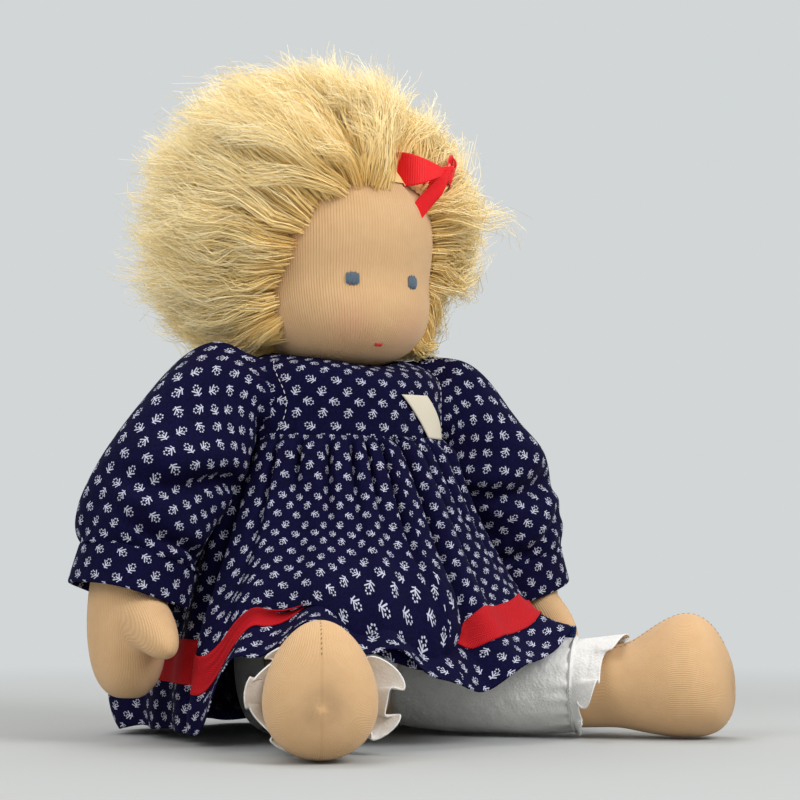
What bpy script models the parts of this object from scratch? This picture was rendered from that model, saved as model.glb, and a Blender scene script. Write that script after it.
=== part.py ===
"""A seated cloth doll: knitted skin over wool, brushed hair, print dress and bloomers.

Metres, +Z up. The doll sits on the origin and looks along -Y; its own left side is at +X.
"""
import math

import bmesh
import bpy
from mathutils import Matrix, Vector

# Cloth and clearances
FIT_GAP = 0.0003
CUT_OVERRUN = 0.02
SKIN_WALL = 0.001
CLOTH_WALL = 0.0014
JOINT_GAP = 0.0006
WOOL_GAP = 0.0013
WOOL_FACET_SHARE = 0.5

# Torso
TORSO_BASE_Z = 0.0024
TORSO_HEIGHT = 0.1455
TORSO_WIDTH = 0.088
TORSO_DEPTH = 0.066
TORSO_SETBACK = 0.001
TORSO_TOP_Z = TORSO_BASE_Z + TORSO_HEIGHT
NECK_HOLE_RADIUS = 0.0185
# height, width, depth and forward shift of each ring of the torso
TORSO_RING_SHARES = (
    (0.0, 0.50, 0.46, 0.0), (0.0, 0.70, 0.66, 0.0), (0.06, 0.93, 0.90, 0.0), (0.24, 1.0, 1.0, 0.02),
    (0.47, 0.95, 1.0, 0.03), (0.70, 0.87, 0.93, 0.02), (0.88, 0.83, 0.80, 0.0), (0.975, 0.68, 0.64, 0.0),
)

# Head and neck
HEAD_WIDTH = 0.077
HEAD_DEPTH = 0.081
HEAD_HEIGHT = 0.094
CHIN_ABOVE_TORSO = 0.0056
PIVOT_ABOVE_CHIN = 0.004
NECK_SUNK = 0.0094
TIE_ABOVE_TORSO = 0.0021
HEAD_FORWARD = 0.003
HEAD_BASE_Z = TORSO_TOP_Z + CHIN_ABOVE_TORSO
HEAD_PIVOT_Z = HEAD_BASE_Z + PIVOT_ABOVE_CHIN
NECK_RADIUS = 0.0140
NECK_BASE_Z = TORSO_TOP_Z - NECK_SUNK
NECK_TIE_Z = TORSO_TOP_Z + TIE_ABOVE_TORSO
THREAD_RADIUS = 0.0006
FACE_TURN = math.radians(-3.5)
# height, width, depth and forward shift of each ring of the head
HEAD_RING_SHARES = (
    (0.0, 0.44, 0.42, -0.036), (0.035, 0.67, 0.65, 0.05), (0.14, 0.89, 0.87, 0.045),
    (0.26, 0.955, 0.93, 0.03), (0.36, 0.945, 0.905, 0.01), (0.52, 0.995, 0.99, 0.02),
    (0.70, 0.99, 0.99, 0.0), (0.87, 0.78, 0.78, -0.02), (0.975, 0.40, 0.40, -0.03),
)
EYE_LINE_RING = 4
EYE_LINE_TIE = 0.0042
EYE_SPREAD = 0.0277
EYE_WIDTH = 0.005
EYE_HEIGHT = 0.0052
MOUTH_DROP = 0.0255
MOUTH_WIDTH = 0.0042
STITCH_THICKNESS = 0.0009

# Hair
WIG_CAP_WALL = 0.0012
WIG_CAP_GAP = 0.0008
HAIR_WIDTH = 0.158
HAIR_DEPTH = 0.150
HAIR_HEIGHT = 0.124
HAIR_ABOVE_CHIN = 0.068
HAIR_CENTRE_Z = HEAD_BASE_Z + HAIR_ABOVE_CHIN
HAIR_SETBACK = 0.017
HAIR_TUFT_DEPTH = 0.0055
HAIR_TUFTS = 11
HAIRLINE_WIDTH = 0.066
HAIRLINE_HEIGHT = 0.089
HAIRLINE_BELOW_CHIN = 0.0115
HAIRLINE_BASE_Z = HEAD_BASE_Z - HAIRLINE_BELOW_CHIN
HAIRLINE_Y = -0.010

# Ribbon bow
BOW_X = 0.031
BOW_Y = -0.0415
BOW_ABOVE_CHIN = 0.079
BOW_Z = HEAD_BASE_Z + BOW_ABOVE_CHIN
BOW_TURN = math.radians(15)
BOW_LEAN = math.radians(9)
RIBBON_WIDTH = 0.0155
RIBBON_WALL = 0.0007
BOW_LOOP_LENGTH = 0.024
BOW_LOOP_OPENING = 0.0125
BOW_TAIL_LENGTH = 0.022
BOW_KNOT_RADIUS = 0.0042
BOW_NEST_MARGIN = 0.0054
TAIL_LEANS = (("left", 0.62, -0.4), ("right", -0.45, 0.6))

# Arms
SHOULDER_X = 0.0565
SHOULDER_BELOW_TORSO_TOP = 0.0129
SHOULDER_Z = TORSO_TOP_Z - SHOULDER_BELOW_TORSO_TOP
ARM_RADIUS = 0.0138
ARM_REACH = 0.0410
ARM_DROP = 0.101
THUMB_RADIUS = 0.0052
THUMB_LENGTH = 0.017
THUMB_DROOP = math.radians(29)
DOME_ANGLE = math.radians(52)
# outward, downward and radius shares along the arm
ARM_PATH_SHARES = (
    (-0.24, 0.0, 0.95), (0.0, 0.0, 1.0), (0.42, 0.18, 1.02), (0.82, 0.48, 1.03), (0.98, 0.74, 1.10),
    (1.0, 1.0, 1.18),
)

# Legs
HIP_X = 0.026
HIP_Y = -0.022
LEG_AXIS_Z = 0.0212
LEG_RADIUS = 0.0176
LEG_LENGTH = 0.131
LEG_SPREAD_LEFT = math.radians(43)
LEG_SPREAD_RIGHT = math.radians(30)
LEG_LIFT = math.radians(25)
FOOT_HEIGHT = 0.052
FOOT_WIDTH = 0.041
FOOT_EGG_SHARE = 0.17
# distance along the leg, lowest and highest point against the foot's height, width against the foot's
FOOT_RING_SHARES = (
    (0.70, 0.055, 0.76, 0.87), (0.79, 0.01, 0.94, 0.96), (0.87, 0.0, 1.0, 1.02), (0.95, 0.035, 0.84, 0.90),
    (0.99, 0.15, 0.62, 0.58),
)

# Dress
YOKE_SEAM_DROP = 0.0264
YOKE_SEAM_Z = TORSO_TOP_Z - YOKE_SEAM_DROP
YOKE_TOP_Z = HEAD_PIVOT_Z
YOKE_FRONT_DROP = 0.0105
YOKE_LOOSENESS = 0.0026
YOKE_CHEST_SHARE = 0.9
YOKE_NECK_WIDTH = 0.060
YOKE_NECK_DEPTH = 0.050
YOKE_SHOULDER_POWER = 8
YOKE_ROW_SHARES = (0.0, 0.4, 0.7, 0.87, 0.96, 1.0)
ARMHOLE_RADIUS = 0.0165
BUTTON_RADIUS = 0.0038
BUTTON_WALL = 0.0018
BUTTON_COUNT = 3
BUTTON_TOP_SHARE = 0.6
LABEL_WIDTH = 0.0095
LABEL_HEIGHT = 0.019
LABEL_WALL = 0.0006
LABEL_ABOVE_SEAM = 0.0011
LABEL_BEARING = math.radians(30)
SKIRT_SPREAD = 0.100
SKIRT_TOP_WIDTH = 0.088
SKIRT_TOP_DEPTH = 0.074
SKIRT_DROP = 0.1185
PLEAT_DEPTH = 0.0042
PLEAT_START_SHARE = 0.25
PLEATS_PER_HALF = 9
TAPE_WIDTH = 0.0165
TAPE_ABOVE_HEM = 0.020
TAPE_WALL = 0.0007
# direction in degrees from the front, then the drape curve's two middle points and its end, each as
# a share of the spread outward and of the drop downward
SKIRT_STATION_SHARES = (
    (-180, 0.56, 0.20, 0.90, 0.72, 0.78, 1.0), (-128, 0.62, 0.18, 1.08, 0.76, 0.88, 0.985),
    (-102, 0.52, 0.22, 0.80, 0.70, 0.74, 0.985), (-80, 0.52, 0.22, 0.80, 0.72, 0.76, 0.985),
    (-69, 0.55, 0.22, 0.98, 0.80, 0.92, 0.985), (-53, 0.56, 0.24, 0.74, 0.60, 0.98, 0.74),
    (-38, 0.56, 0.26, 0.68, 0.60, 1.01, 0.641), (-23, 0.56, 0.26, 0.70, 0.60, 0.97, 0.72),
    (4, 0.56, 0.24, 0.74, 0.62, 0.90, 0.85), (31, 0.56, 0.26, 0.70, 0.62, 0.97, 0.735),
    (46, 0.56, 0.26, 0.68, 0.62, 1.01, 0.653), (60, 0.56, 0.24, 0.76, 0.62, 0.98, 0.755),
    (70, 0.55, 0.22, 0.96, 0.78, 0.90, 0.985), (80, 0.52, 0.22, 0.80, 0.72, 0.76, 0.985),
    (102, 0.52, 0.22, 0.80, 0.70, 0.74, 0.985), (128, 0.62, 0.18, 1.08, 0.76, 0.88, 0.985),
)

# Sleeves
SLEEVE_TOP_HEIGHT = 0.042
SLEEVE_TOP_DEPTH = 0.037
SLEEVE_FULLNESS = 0.0282
SLEEVE_TUCKS = 6
SLEEVE_TUCK_DEPTH = 0.0011
CUFF_RADIUS = 0.0238
CUFF_LENGTH = 0.0165
CUFF_LEAN = math.radians(16)
# out from the armhole, up from the cuff, fullness and turn toward the cuff's lean, along the sleeve
SLEEVE_PATH_SHARES = (
    (0.15, 0.92, 0.90, 0.35), (0.44, 0.76, 1.0, 0.60), (0.72, 0.54, 0.99, 0.80),
    (0.90, 0.28, 0.93, 0.95), (1.0, 0.0, 0.85, 1.0),
)
SLEEVE_TOP_X = 0.0462
SLEEVE_ABOVE_SHOULDER = 0.004
SLEEVE_TOP_Z = SHOULDER_Z + SLEEVE_ABOVE_SHOULDER
SLEEVE_DROP = 0.0615
CUFF_TOP_X = 0.0925
CUFF_TOP_Z = SHOULDER_Z - SLEEVE_DROP

# Bloomers
BLOOMER_LOOSENESS = 0.0004
SEAT_FLATTENED = 0.0007
BLOOMER_LEG_START = 0.019
BLOOMER_LEG_END = 0.066
FRILL_LENGTH = 0.011
FRILL_WIDTH = 0.058
FRILL_HEIGHT = 0.0408
FRILL_WAVES = 7
FRILL_WAVE_DEPTH = 0.0016
ELASTIC_RADIUS = 0.0011

SIDES = (("left", 1, LEG_SPREAD_LEFT), ("right", -1, LEG_SPREAD_RIGHT))
X_AXIS = Vector((1, 0, 0))
Y_AXIS = Vector((0, 1, 0))
Z_AXIS = Vector((0, 0, 1))

parts = bpy.data.collections.new("waldorf_doll")
cutters = bpy.data.collections.new("cutters")


# Building blocks

def clear_scene():
    for obj in list(bpy.data.objects):
        bpy.data.objects.remove(obj, do_unlink=True)
    bpy.context.scene.collection.children.link(parts)
    bpy.context.scene.collection.children.link(cutters)


def material(name, colour, roughness):
    found = bpy.data.materials.get(name)
    if found:
        return found
    made = bpy.data.materials.new(name)
    made.use_nodes = True
    shader = made.node_tree.nodes["Principled BSDF"]
    shader.inputs["Base Color"].default_value = (*colour, 1)
    shader.inputs["Roughness"].default_value = roughness
    return made


def skin_material():
    return material("knitted_skin", (0.66, 0.42, 0.27), 0.85)


def wool_material():
    return material("wool_stuffing", (0.80, 0.76, 0.66), 0.95)


def print_material():
    return material("navy_print_cotton", (0.025, 0.035, 0.09), 0.8)


def white_cotton():
    return material("white_cotton", (0.82, 0.83, 0.84), 0.8)


def elastic_material():
    return material("elastic", (0.86, 0.86, 0.84), 0.6)


def ribbon_material():
    return material("red_ribbon", (0.47, 0.02, 0.03), 0.55)


def new_object(name, mesh, surface, collection=parts):
    obj = bpy.data.objects.new(name, mesh)
    mesh.shade_smooth()
    if surface:
        mesh.materials.append(surface)
    collection.objects.link(obj)
    if collection is cutters:
        obj.hide_render = True
        obj.display_type = "WIRE"
    return obj


def smoothing_share(count):
    """Outward growth that lets a smoothed cage of this many sides pass through its ellipse."""
    return 6 / (4 + 2 * math.cos(2 * math.pi / count))


def ellipse_ring(centre, side_axis, up_axis, half_side, half_up, count, egg_share=0.0, grow=1.0):
    ring = []
    for step in range(count):
        angle = 2 * math.pi * step / count
        side = half_side * grow * math.cos(angle) * (1 - egg_share * math.sin(angle))
        ring.append(centre + side_axis * side + up_axis * (half_up * grow * math.sin(angle)))
    return ring


def loft(name, rings, surface, caps=(True, True), wrap=True, collection=parts):
    """Skin a row of rings, each a list of as many points, with quads, and cap the ends asked for."""
    shape = bmesh.new()
    rows = [[shape.verts.new(point) for point in ring] for ring in rings]
    count = len(rows[0])
    for lower, upper in zip(rows, rows[1:]):
        for step in range(count if wrap else count - 1):
            after = (step + 1) % count
            shape.faces.new((lower[step], lower[after], upper[after], upper[step]))
    if caps[0]:
        shape.faces.new(list(reversed(rows[0])))
    if caps[1]:
        shape.faces.new(rows[-1])
    bmesh.ops.recalc_face_normals(shape, faces=shape.faces)
    if wrap:
        middle = sum((v.co for v in shape.verts), Vector()) / len(shape.verts)
        outward = sum(f.calc_area() * f.normal.dot(f.calc_center_median() - middle) for f in shape.faces)
        if outward < 0:
            bmesh.ops.reverse_faces(shape, faces=shape.faces)
    mesh = bpy.data.meshes.new(name)
    shape.to_mesh(mesh)
    shape.free()
    return new_object(name, mesh, surface, collection)


def thin_out(obj, share):
    modifier = obj.modifiers.new("thin_out", "DECIMATE")
    modifier.ratio = share


def smooth(obj, levels=1):
    modifier = obj.modifiers.new("smooth", "SUBSURF")
    modifier.levels = levels
    modifier.render_levels = levels


def wall(obj, thickness, offset=-1):
    modifier = obj.modifiers.new("wall", "SOLIDIFY")
    modifier.thickness = thickness
    modifier.offset = offset
    modifier.use_even_offset = True


def shrink(obj, distance):
    modifier = obj.modifiers.new("shrink", "DISPLACE")
    modifier.mid_level = 0
    modifier.strength = -distance


def cut(obj, cutter, operation="DIFFERENCE"):
    modifier = obj.modifiers.new("cut", "BOOLEAN")
    modifier.operation = operation
    modifier.object = cutter


def skin_and_core(base_name, rings, suffix=""):
    """A knitted shell that is open at its first ring, where it is sewn on, and the wool that fills it."""
    skin = loft(base_name + "_skin" + suffix, rings, skin_material(), caps=(False, True))
    smooth(skin)
    wall(skin, SKIN_WALL)
    core = loft(base_name + "_stuffing" + suffix, rings, wool_material())
    smooth(core)
    shrink(core, SKIN_WALL + WOOL_GAP)
    thin_out(core, WOOL_FACET_SHARE)
    return skin, core


def box_cutter(name, size, centre, turn=0.0):
    bpy.ops.mesh.primitive_cube_add(size=1)
    made = bpy.context.object
    mesh = made.data
    mesh.transform(Matrix.Diagonal((*size, 1)))
    mesh.transform(Matrix.Translation(centre) @ Matrix.Rotation(turn, 4, "Z"))
    bpy.data.objects.remove(made, do_unlink=True)
    return new_object(name, mesh, None, cutters)


def disc(name, radius, length, centre, axis, sides, surface, collection):
    bpy.ops.mesh.primitive_cylinder_add(vertices=sides, radius=radius, depth=length)
    made = bpy.context.object
    mesh = made.data
    mesh.transform(Matrix.Translation(centre) @ axis.to_track_quat("Z", "Y").to_matrix().to_4x4())
    bpy.data.objects.remove(made, do_unlink=True)
    return new_object(name, mesh, surface, collection)


def round_cutter(name, radius, length, centre, axis, sides=24):
    return disc(name, radius, length, centre, axis, sides, None, cutters)


def torus(name, half_width, half_depth, centre, minor_radius, surface, collection=parts, segments=18):
    """A ring of thread or elastic lying flat round an oval."""
    bpy.ops.mesh.primitive_torus_add(
        major_radius=half_width, minor_radius=minor_radius, major_segments=segments, minor_segments=4)
    made = bpy.context.object
    mesh = made.data
    mesh.transform(Matrix.Translation(centre) @ Matrix.Diagonal((1, half_depth / half_width, 1, 1)))
    bpy.data.objects.remove(made, do_unlink=True)
    return new_object(name, mesh, surface, collection)


def surface_point(obj, start, direction):
    """Where a line from outside meets the finished surface, and which way that surface faces."""
    ready = obj.evaluated_get(bpy.context.evaluated_depsgraph_get())
    met, point, normal, _ = ready.ray_cast(start, direction)
    if not met:
        raise ValueError("nothing to sew onto at " + obj.name)
    return point, normal


def pad(name, point, normal, width, height, thickness, surface):
    """A small raised oval of satin stitch, lying just off the surface it is sewn to."""
    bpy.ops.mesh.primitive_uv_sphere_add(segments=10, ring_count=6, radius=0.5)
    made = bpy.context.object
    mesh = made.data
    turn = normal.to_track_quat("Z", "Y").to_matrix().to_4x4()
    lift = point + normal * (FIT_GAP + thickness / 2)
    mesh.transform(Matrix.Translation(lift) @ turn @ Matrix.Diagonal((width, height, thickness, 1)))
    bpy.data.objects.remove(made, do_unlink=True)
    return new_object(name, mesh, surface)


# Torso, neck and head

def leg_direction(side, spread):
    return Vector((side * math.sin(spread), -math.cos(spread), 0))


def leg_well(name, side, spread, radius):
    """The room a leg needs in the body from lifted a little to hanging straight down."""
    hip = Vector((side * HIP_X, HIP_Y, LEG_AXIS_Z))
    forward = leg_direction(side, spread)
    across = forward.cross(Z_AXIS)
    back, raised = math.pi, math.pi / 2 + LEG_LIFT
    steps = 5
    arc = [back + (raised - back) * step / steps for step in range(steps + 1)]
    outline = [(radius * math.cos(angle), radius * math.sin(angle)) for angle in arc]
    along, up = outline[-1]
    far = (along + LEG_LENGTH * math.cos(LEG_LIFT), up + LEG_LENGTH * math.sin(LEG_LIFT))
    outline += [far, (LEG_LENGTH, -LEG_LENGTH), (-radius, -LEG_LENGTH)]
    rings = []
    for offset in (-radius, radius):
        rings.append([hip + across * offset + forward * along + Z_AXIS * up for along, up in outline])
    return loft(name, rings, None, collection=cutters)


def torso_rings():
    rings = []
    centre = Vector((0, TORSO_SETBACK, TORSO_BASE_Z + TORSO_HEIGHT))
    count = 8
    grow = smoothing_share(count)
    rings.append(ellipse_ring(centre, X_AXIS, Y_AXIS, NECK_HOLE_RADIUS, NECK_HOLE_RADIUS, count, grow=grow))
    for height, width, depth, forward in reversed(TORSO_RING_SHARES):
        centre = Vector((0, TORSO_SETBACK - forward * TORSO_DEPTH, TORSO_BASE_Z + height * TORSO_HEIGHT))
        rings.append(ellipse_ring(centre, X_AXIS, Y_AXIS, width * TORSO_WIDTH / 2,
                                  depth * TORSO_DEPTH / 2, count, grow=grow))
    return rings


def torso():
    skin, core = skin_and_core("torso", torso_rings())
    for label, side, spread in SIDES:
        well = leg_well("torso_well_" + label, side, spread, LEG_RADIUS + JOINT_GAP)
        cut(skin, well)
        cut(core, well)
    depth = TORSO_HEIGHT / 2
    hole = round_cutter("neck_hole", NECK_RADIUS + JOINT_GAP, depth,
                        Vector((0, 0, NECK_BASE_Z - JOINT_GAP + depth / 2)), Z_AXIS)
    cut(core, hole)


def head_rings(first=0, dent=0.0):
    """Level rings of the head; a dent draws in the ring where the eye line thread is tied."""
    rings = []
    count = 10
    grow = smoothing_share(count)
    for number, (height, width, depth, forward) in enumerate(HEAD_RING_SHARES):
        if number < first:
            continue
        centre = Vector((0, -HEAD_FORWARD - forward * HEAD_DEPTH, HEAD_BASE_Z + height * HEAD_HEIGHT))
        inset = dent if number == EYE_LINE_RING else 0
        rings.append(ellipse_ring(centre, X_AXIS, Y_AXIS, width * HEAD_WIDTH / 2 - inset,
                                  depth * HEAD_DEPTH / 2 - inset, count, grow=grow))
    return rings


def neck():
    """The end of the inner head tube: a short firm roll with a round top that the head nods on."""
    length = HEAD_PIVOT_Z - NECK_BASE_Z
    rings = []
    count = 14
    for height in (0.0, 1.0):
        centre = Vector((0, 0, NECK_BASE_Z + height * length))
        rings.append(ellipse_ring(centre, X_AXIS, Y_AXIS, NECK_RADIUS, NECK_RADIUS, count))
    for degrees in (25, 50, 72):
        angle = math.radians(degrees)
        centre = Vector((0, 0, HEAD_PIVOT_Z + NECK_RADIUS * math.sin(angle)))
        radius = NECK_RADIUS * math.cos(angle)
        rings.append(ellipse_ring(centre, X_AXIS, Y_AXIS, radius, radius, count))
    loft("neck_roll", rings, skin_material())
    tie_radius = NECK_RADIUS + FIT_GAP + THREAD_RADIUS
    torus("neck_tie", tie_radius, tie_radius, Vector((0, 0, NECK_TIE_Z)), THREAD_RADIUS, elastic_material())


def eye_line_z():
    return HEAD_BASE_Z + HEAD_RING_SHARES[EYE_LINE_RING][0] * HEAD_HEIGHT


def head():
    skin = loft("head_skin", head_rings(), skin_material(), caps=(False, True))
    smooth(skin)
    wall(skin, SKIN_WALL)
    core = loft("head_stuffing", head_rings(dent=EYE_LINE_TIE), wool_material())
    smooth(core)
    shrink(core, SKIN_WALL + WOOL_GAP)
    thin_out(core, WOOL_FACET_SHARE)
    bpy.ops.mesh.primitive_uv_sphere_add(segments=16, ring_count=8, radius=NECK_RADIUS + 2 * JOINT_GAP)
    made = bpy.context.object
    mesh = made.data
    mesh.transform(Matrix.Translation((0, 0, HEAD_PIVOT_Z)))
    bpy.data.objects.remove(made, do_unlink=True)
    cut(core, new_object("neck_socket", mesh, None, cutters))
    _, width, depth, forward = HEAD_RING_SHARES[EYE_LINE_RING]
    inset = SKIN_WALL + 2 * FIT_GAP + THREAD_RADIUS
    centre = Vector((0, -HEAD_FORWARD - forward * HEAD_DEPTH, eye_line_z()))
    torus("eye_line_thread", width * HEAD_WIDTH / 2 - inset, depth * HEAD_DEPTH / 2 - inset, centre,
          THREAD_RADIUS, elastic_material())
    return skin


def face(skin):
    blue = material("eye_thread", (0.12, 0.17, 0.22), 0.6)
    red = material("mouth_thread", (0.50, 0.10, 0.09), 0.6)
    eye_z = eye_line_z() - EYE_HEIGHT / 4
    half_angle = math.asin(EYE_SPREAD / HEAD_DEPTH / HEAD_RING_SHARES[EYE_LINE_RING][2])
    for label, side, _ in SIDES:
        angle = FACE_TURN + side * half_angle
        direction = Vector((math.sin(angle), -math.cos(angle), 0))
        start = Vector((0, -HEAD_FORWARD, eye_z)) + direction * HEAD_DEPTH
        point, normal = surface_point(skin, start, -direction)
        pad("eye_" + label, point, normal, EYE_WIDTH, EYE_HEIGHT, STITCH_THICKNESS, blue)
    direction = Vector((math.sin(FACE_TURN), -math.cos(FACE_TURN), 0))
    start = Vector((0, -HEAD_FORWARD, eye_z - MOUTH_DROP)) + direction * HEAD_DEPTH
    point, normal = surface_point(skin, start, -direction)
    pad("mouth", point, normal, MOUTH_WIDTH, STITCH_THICKNESS * 2, STITCH_THICKNESS, red)


# Hair and bow

def face_opening(name, grow_by):
    """An upright oval tunnel from the middle of the head to the front, where no hair is sewn."""
    width = HAIRLINE_WIDTH + 2 * grow_by
    height = HAIRLINE_HEIGHT + 2 * grow_by
    start = Vector((0, HAIRLINE_Y - HAIR_DEPTH / 2, 0))
    cutter = round_cutter(name, width / 2, HAIR_DEPTH, start, Y_AXIS, sides=32)
    cutter.data.transform(Matrix.Diagonal((1, 1, height / width, 1)))
    cutter.data.transform(Matrix.Rotation(FACE_TURN, 4, "Z"))
    cutter.data.transform(Matrix.Translation((0, 0, HAIRLINE_BASE_Z + HAIRLINE_HEIGHT / 2)))
    return cutter


def hair():
    cap = loft("wig_cap", head_rings(first=3), white_cotton(), caps=(False, True))
    smooth(cap)
    shrink(cap, -WIG_CAP_GAP)
    thin_out(cap, WOOL_FACET_SHARE)
    wall(cap, WIG_CAP_WALL, offset=1)
    cut(cap, face_opening("cap_opening", FIT_GAP))
    inner = loft("hair_lining", head_rings(), None, collection=cutters)
    smooth(inner)
    shrink(inner, -WIG_CAP_WALL - 2 * WIG_CAP_GAP)
    bpy.ops.mesh.primitive_uv_sphere_add(segments=24, ring_count=13, radius=0.5)
    made = bpy.context.object
    mesh = made.data
    bpy.data.objects.remove(made, do_unlink=True)
    for vertex in mesh.vertices:
        unit = vertex.co.normalized()
        around = math.atan2(unit.y, unit.x)
        level = math.asin(max(-1, min(1, unit.z)))
        ripple = math.sin(HAIR_TUFTS * around + 3 * math.sin(2 * level)) * math.cos(level) ** 2
        ripple += 0.6 * math.sin(5 * level + 2 * math.cos(3 * around))
        size = Vector((HAIR_WIDTH, HAIR_DEPTH, HAIR_HEIGHT)) / 2
        stretched = Vector(a * b for a, b in zip(unit, size))
        vertex.co = stretched + unit * (HAIR_TUFT_DEPTH / 2 * ripple)
    mesh.transform(Matrix.Translation((0, HAIR_SETBACK, HAIR_CENTRE_Z)))
    golden = material("mohair", (0.72, 0.50, 0.22), 0.75)
    tresses = new_object("hair", mesh, golden)
    cut(tresses, inner)
    cut(tresses, face_opening("hair_opening", 2 * FIT_GAP))
    reach = BOW_LOOP_LENGTH + BOW_KNOT_RADIUS + 2 * BOW_NEST_MARGIN
    cut(tresses, bow_nest("loop_nest", reach, RIBBON_WIDTH / 2 + 2 * BOW_NEST_MARGIN, 0))
    drop = (BOW_TAIL_LENGTH + BOW_KNOT_RADIUS) / 2
    cut(tresses, bow_nest("tail_nest", RIBBON_WIDTH + BOW_NEST_MARGIN, drop + 2 * BOW_NEST_MARGIN, drop))


def ribbon(name, route, width_axes, width):
    """A strip of ribbon along the route, as wide as the axes say at each of its points."""
    rings = []
    for point, axis in zip(route, width_axes):
        rings.append([point - axis * (width / 2), point + axis * (width / 2)])
    strip = loft(name, rings, ribbon_material(), caps=(False, False), wrap=False)
    wall(strip, RIBBON_WALL, offset=0)
    return strip


def bow_frame():
    """The knot's place, the way the loops run, the ribbon's width and the way the bow faces."""
    flat = math.cos(BOW_LEAN)
    along = Vector((math.cos(BOW_TURN) * flat, math.sin(BOW_TURN) * flat, math.sin(BOW_LEAN)))
    across = (Z_AXIS - along * along.z).normalized()
    return Vector((BOW_X, BOW_Y, BOW_Z)), along, across, along.cross(across)


def bow():
    """Two open loops and two tails that leave a round knot in the hair, left of the forehead."""
    knot_at, along, across, outward = bow_frame()
    bpy.ops.mesh.primitive_uv_sphere_add(segments=14, ring_count=8, radius=BOW_KNOT_RADIUS)
    made = bpy.context.object
    mesh = made.data
    bpy.data.objects.remove(made, do_unlink=True)
    mesh.transform(Matrix.Translation(knot_at))
    new_object("bow_knot", mesh, ribbon_material())
    clear = BOW_KNOT_RADIUS + FIT_GAP
    for label, way in (("left", 1), ("right", -1)):
        route = []
        axes = []
        steps = 14
        for step in range(steps + 1):
            turn = 2 * math.pi * step / steps
            reach = clear + BOW_LOOP_LENGTH * (1 - math.cos(turn)) / 2
            opening = BOW_LOOP_OPENING * math.sin(turn) * math.sin(turn / 2)
            opening += 2 * RIBBON_WALL * (1 if step < steps / 2 else -1)
            route.append(knot_at + along * (way * reach) + outward * (opening / 2))
            axes.append(across * (1 + 2 * math.sin(turn / 2)) / 3)
        ribbon("bow_loop_" + label, route, axes, RIBBON_WIDTH)
    for label, lean, behind in TAIL_LEANS:
        heading = (along * lean - across).normalized()
        side_axis = heading.cross(outward).normalized()
        route = []
        axes = []
        for share in (0.0, 0.35, 0.7, 1.0):
            curl = BOW_TAIL_LENGTH / 6 * math.sin(math.pi * share) - behind * share * RIBBON_WIDTH / 6
            route.append(knot_at + heading * (clear + share * BOW_TAIL_LENGTH) + outward * curl)
            axes.append(side_axis * (0.25 + 0.75 * min(1, 2 * share)))
        ribbon("bow_tail_" + label, route, axes, RIBBON_WIDTH)


def bow_nest(name, half_along, half_across, drop):
    """A hollow that the loops or the tails press into the hair."""
    knot_at, along, across, outward = bow_frame()
    bpy.ops.mesh.primitive_uv_sphere_add(segments=16, ring_count=8, radius=1)
    made = bpy.context.object
    mesh = made.data
    bpy.data.objects.remove(made, do_unlink=True)
    size = Matrix.Diagonal((half_along, half_across, BOW_LOOP_OPENING / 2 + BOW_NEST_MARGIN, 1))
    turn = Matrix((along, across, outward)).transposed().to_4x4()
    mesh.transform(Matrix.Translation(knot_at - across * drop) @ turn @ size)
    return new_object(name, mesh, None, cutters)


# Arms and legs

def limb_rings(route, side_axis, radii, count):
    """Rings square to a route, for a limb of changing thickness."""
    rings = []
    grow = smoothing_share(count)
    for index, (point, radius) in enumerate(zip(route, radii)):
        before = route[max(index - 1, 0)]
        after = route[min(index + 1, len(route) - 1)]
        tangent = (after - before).normalized()
        other = tangent.cross(side_axis).normalized()
        rings.append(ellipse_ring(point, side_axis, other, radius, radius, count, grow=grow))
    return rings


def rounded_ends(route, radii):
    """Add the points and radii that close each end of a limb in a dome."""
    start = (route[0] - route[1]).normalized()
    finish = (route[-1] - route[-2]).normalized()
    points = list(route)
    sizes = list(radii)
    points.insert(0, route[0] + start * (radii[0] * math.sin(DOME_ANGLE)))
    sizes.insert(0, radii[0] * math.cos(DOME_ANGLE))
    points.append(route[-1] + finish * (radii[-1] * math.sin(DOME_ANGLE)))
    sizes.append(radii[-1] * math.cos(DOME_ANGLE))
    return points, sizes


def arm(label, side):
    route = []
    radii = []
    for out, down, radius in ARM_PATH_SHARES:
        route.append(Vector((side * (SHOULDER_X + out * ARM_REACH), 0, SHOULDER_Z - down * ARM_DROP)))
        radii.append(radius * ARM_RADIUS)
    points, sizes = rounded_ends(route, radii)
    skin, core = skin_and_core("arm", limb_rings(points, Y_AXIS, sizes, 6), "_" + label)
    wrist = route[-2]
    heading = Vector((0, -math.cos(THUMB_DROOP), -math.sin(THUMB_DROOP)))
    base = wrist + heading * (ARM_RADIUS / 2)
    for piece, grow_by, operation in ((skin, 0.0, "UNION"), (core, SKIN_WALL, "DIFFERENCE")):
        tip = base + heading * THUMB_LENGTH
        points, sizes = rounded_ends([base, (base + tip) / 2, tip], [THUMB_RADIUS + grow_by] * 3)
        thumb = loft("thumb_" + piece.name, limb_rings(points, X_AXIS, sizes, 8), None, collection=cutters)
        cut(piece, thumb, operation)


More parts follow.
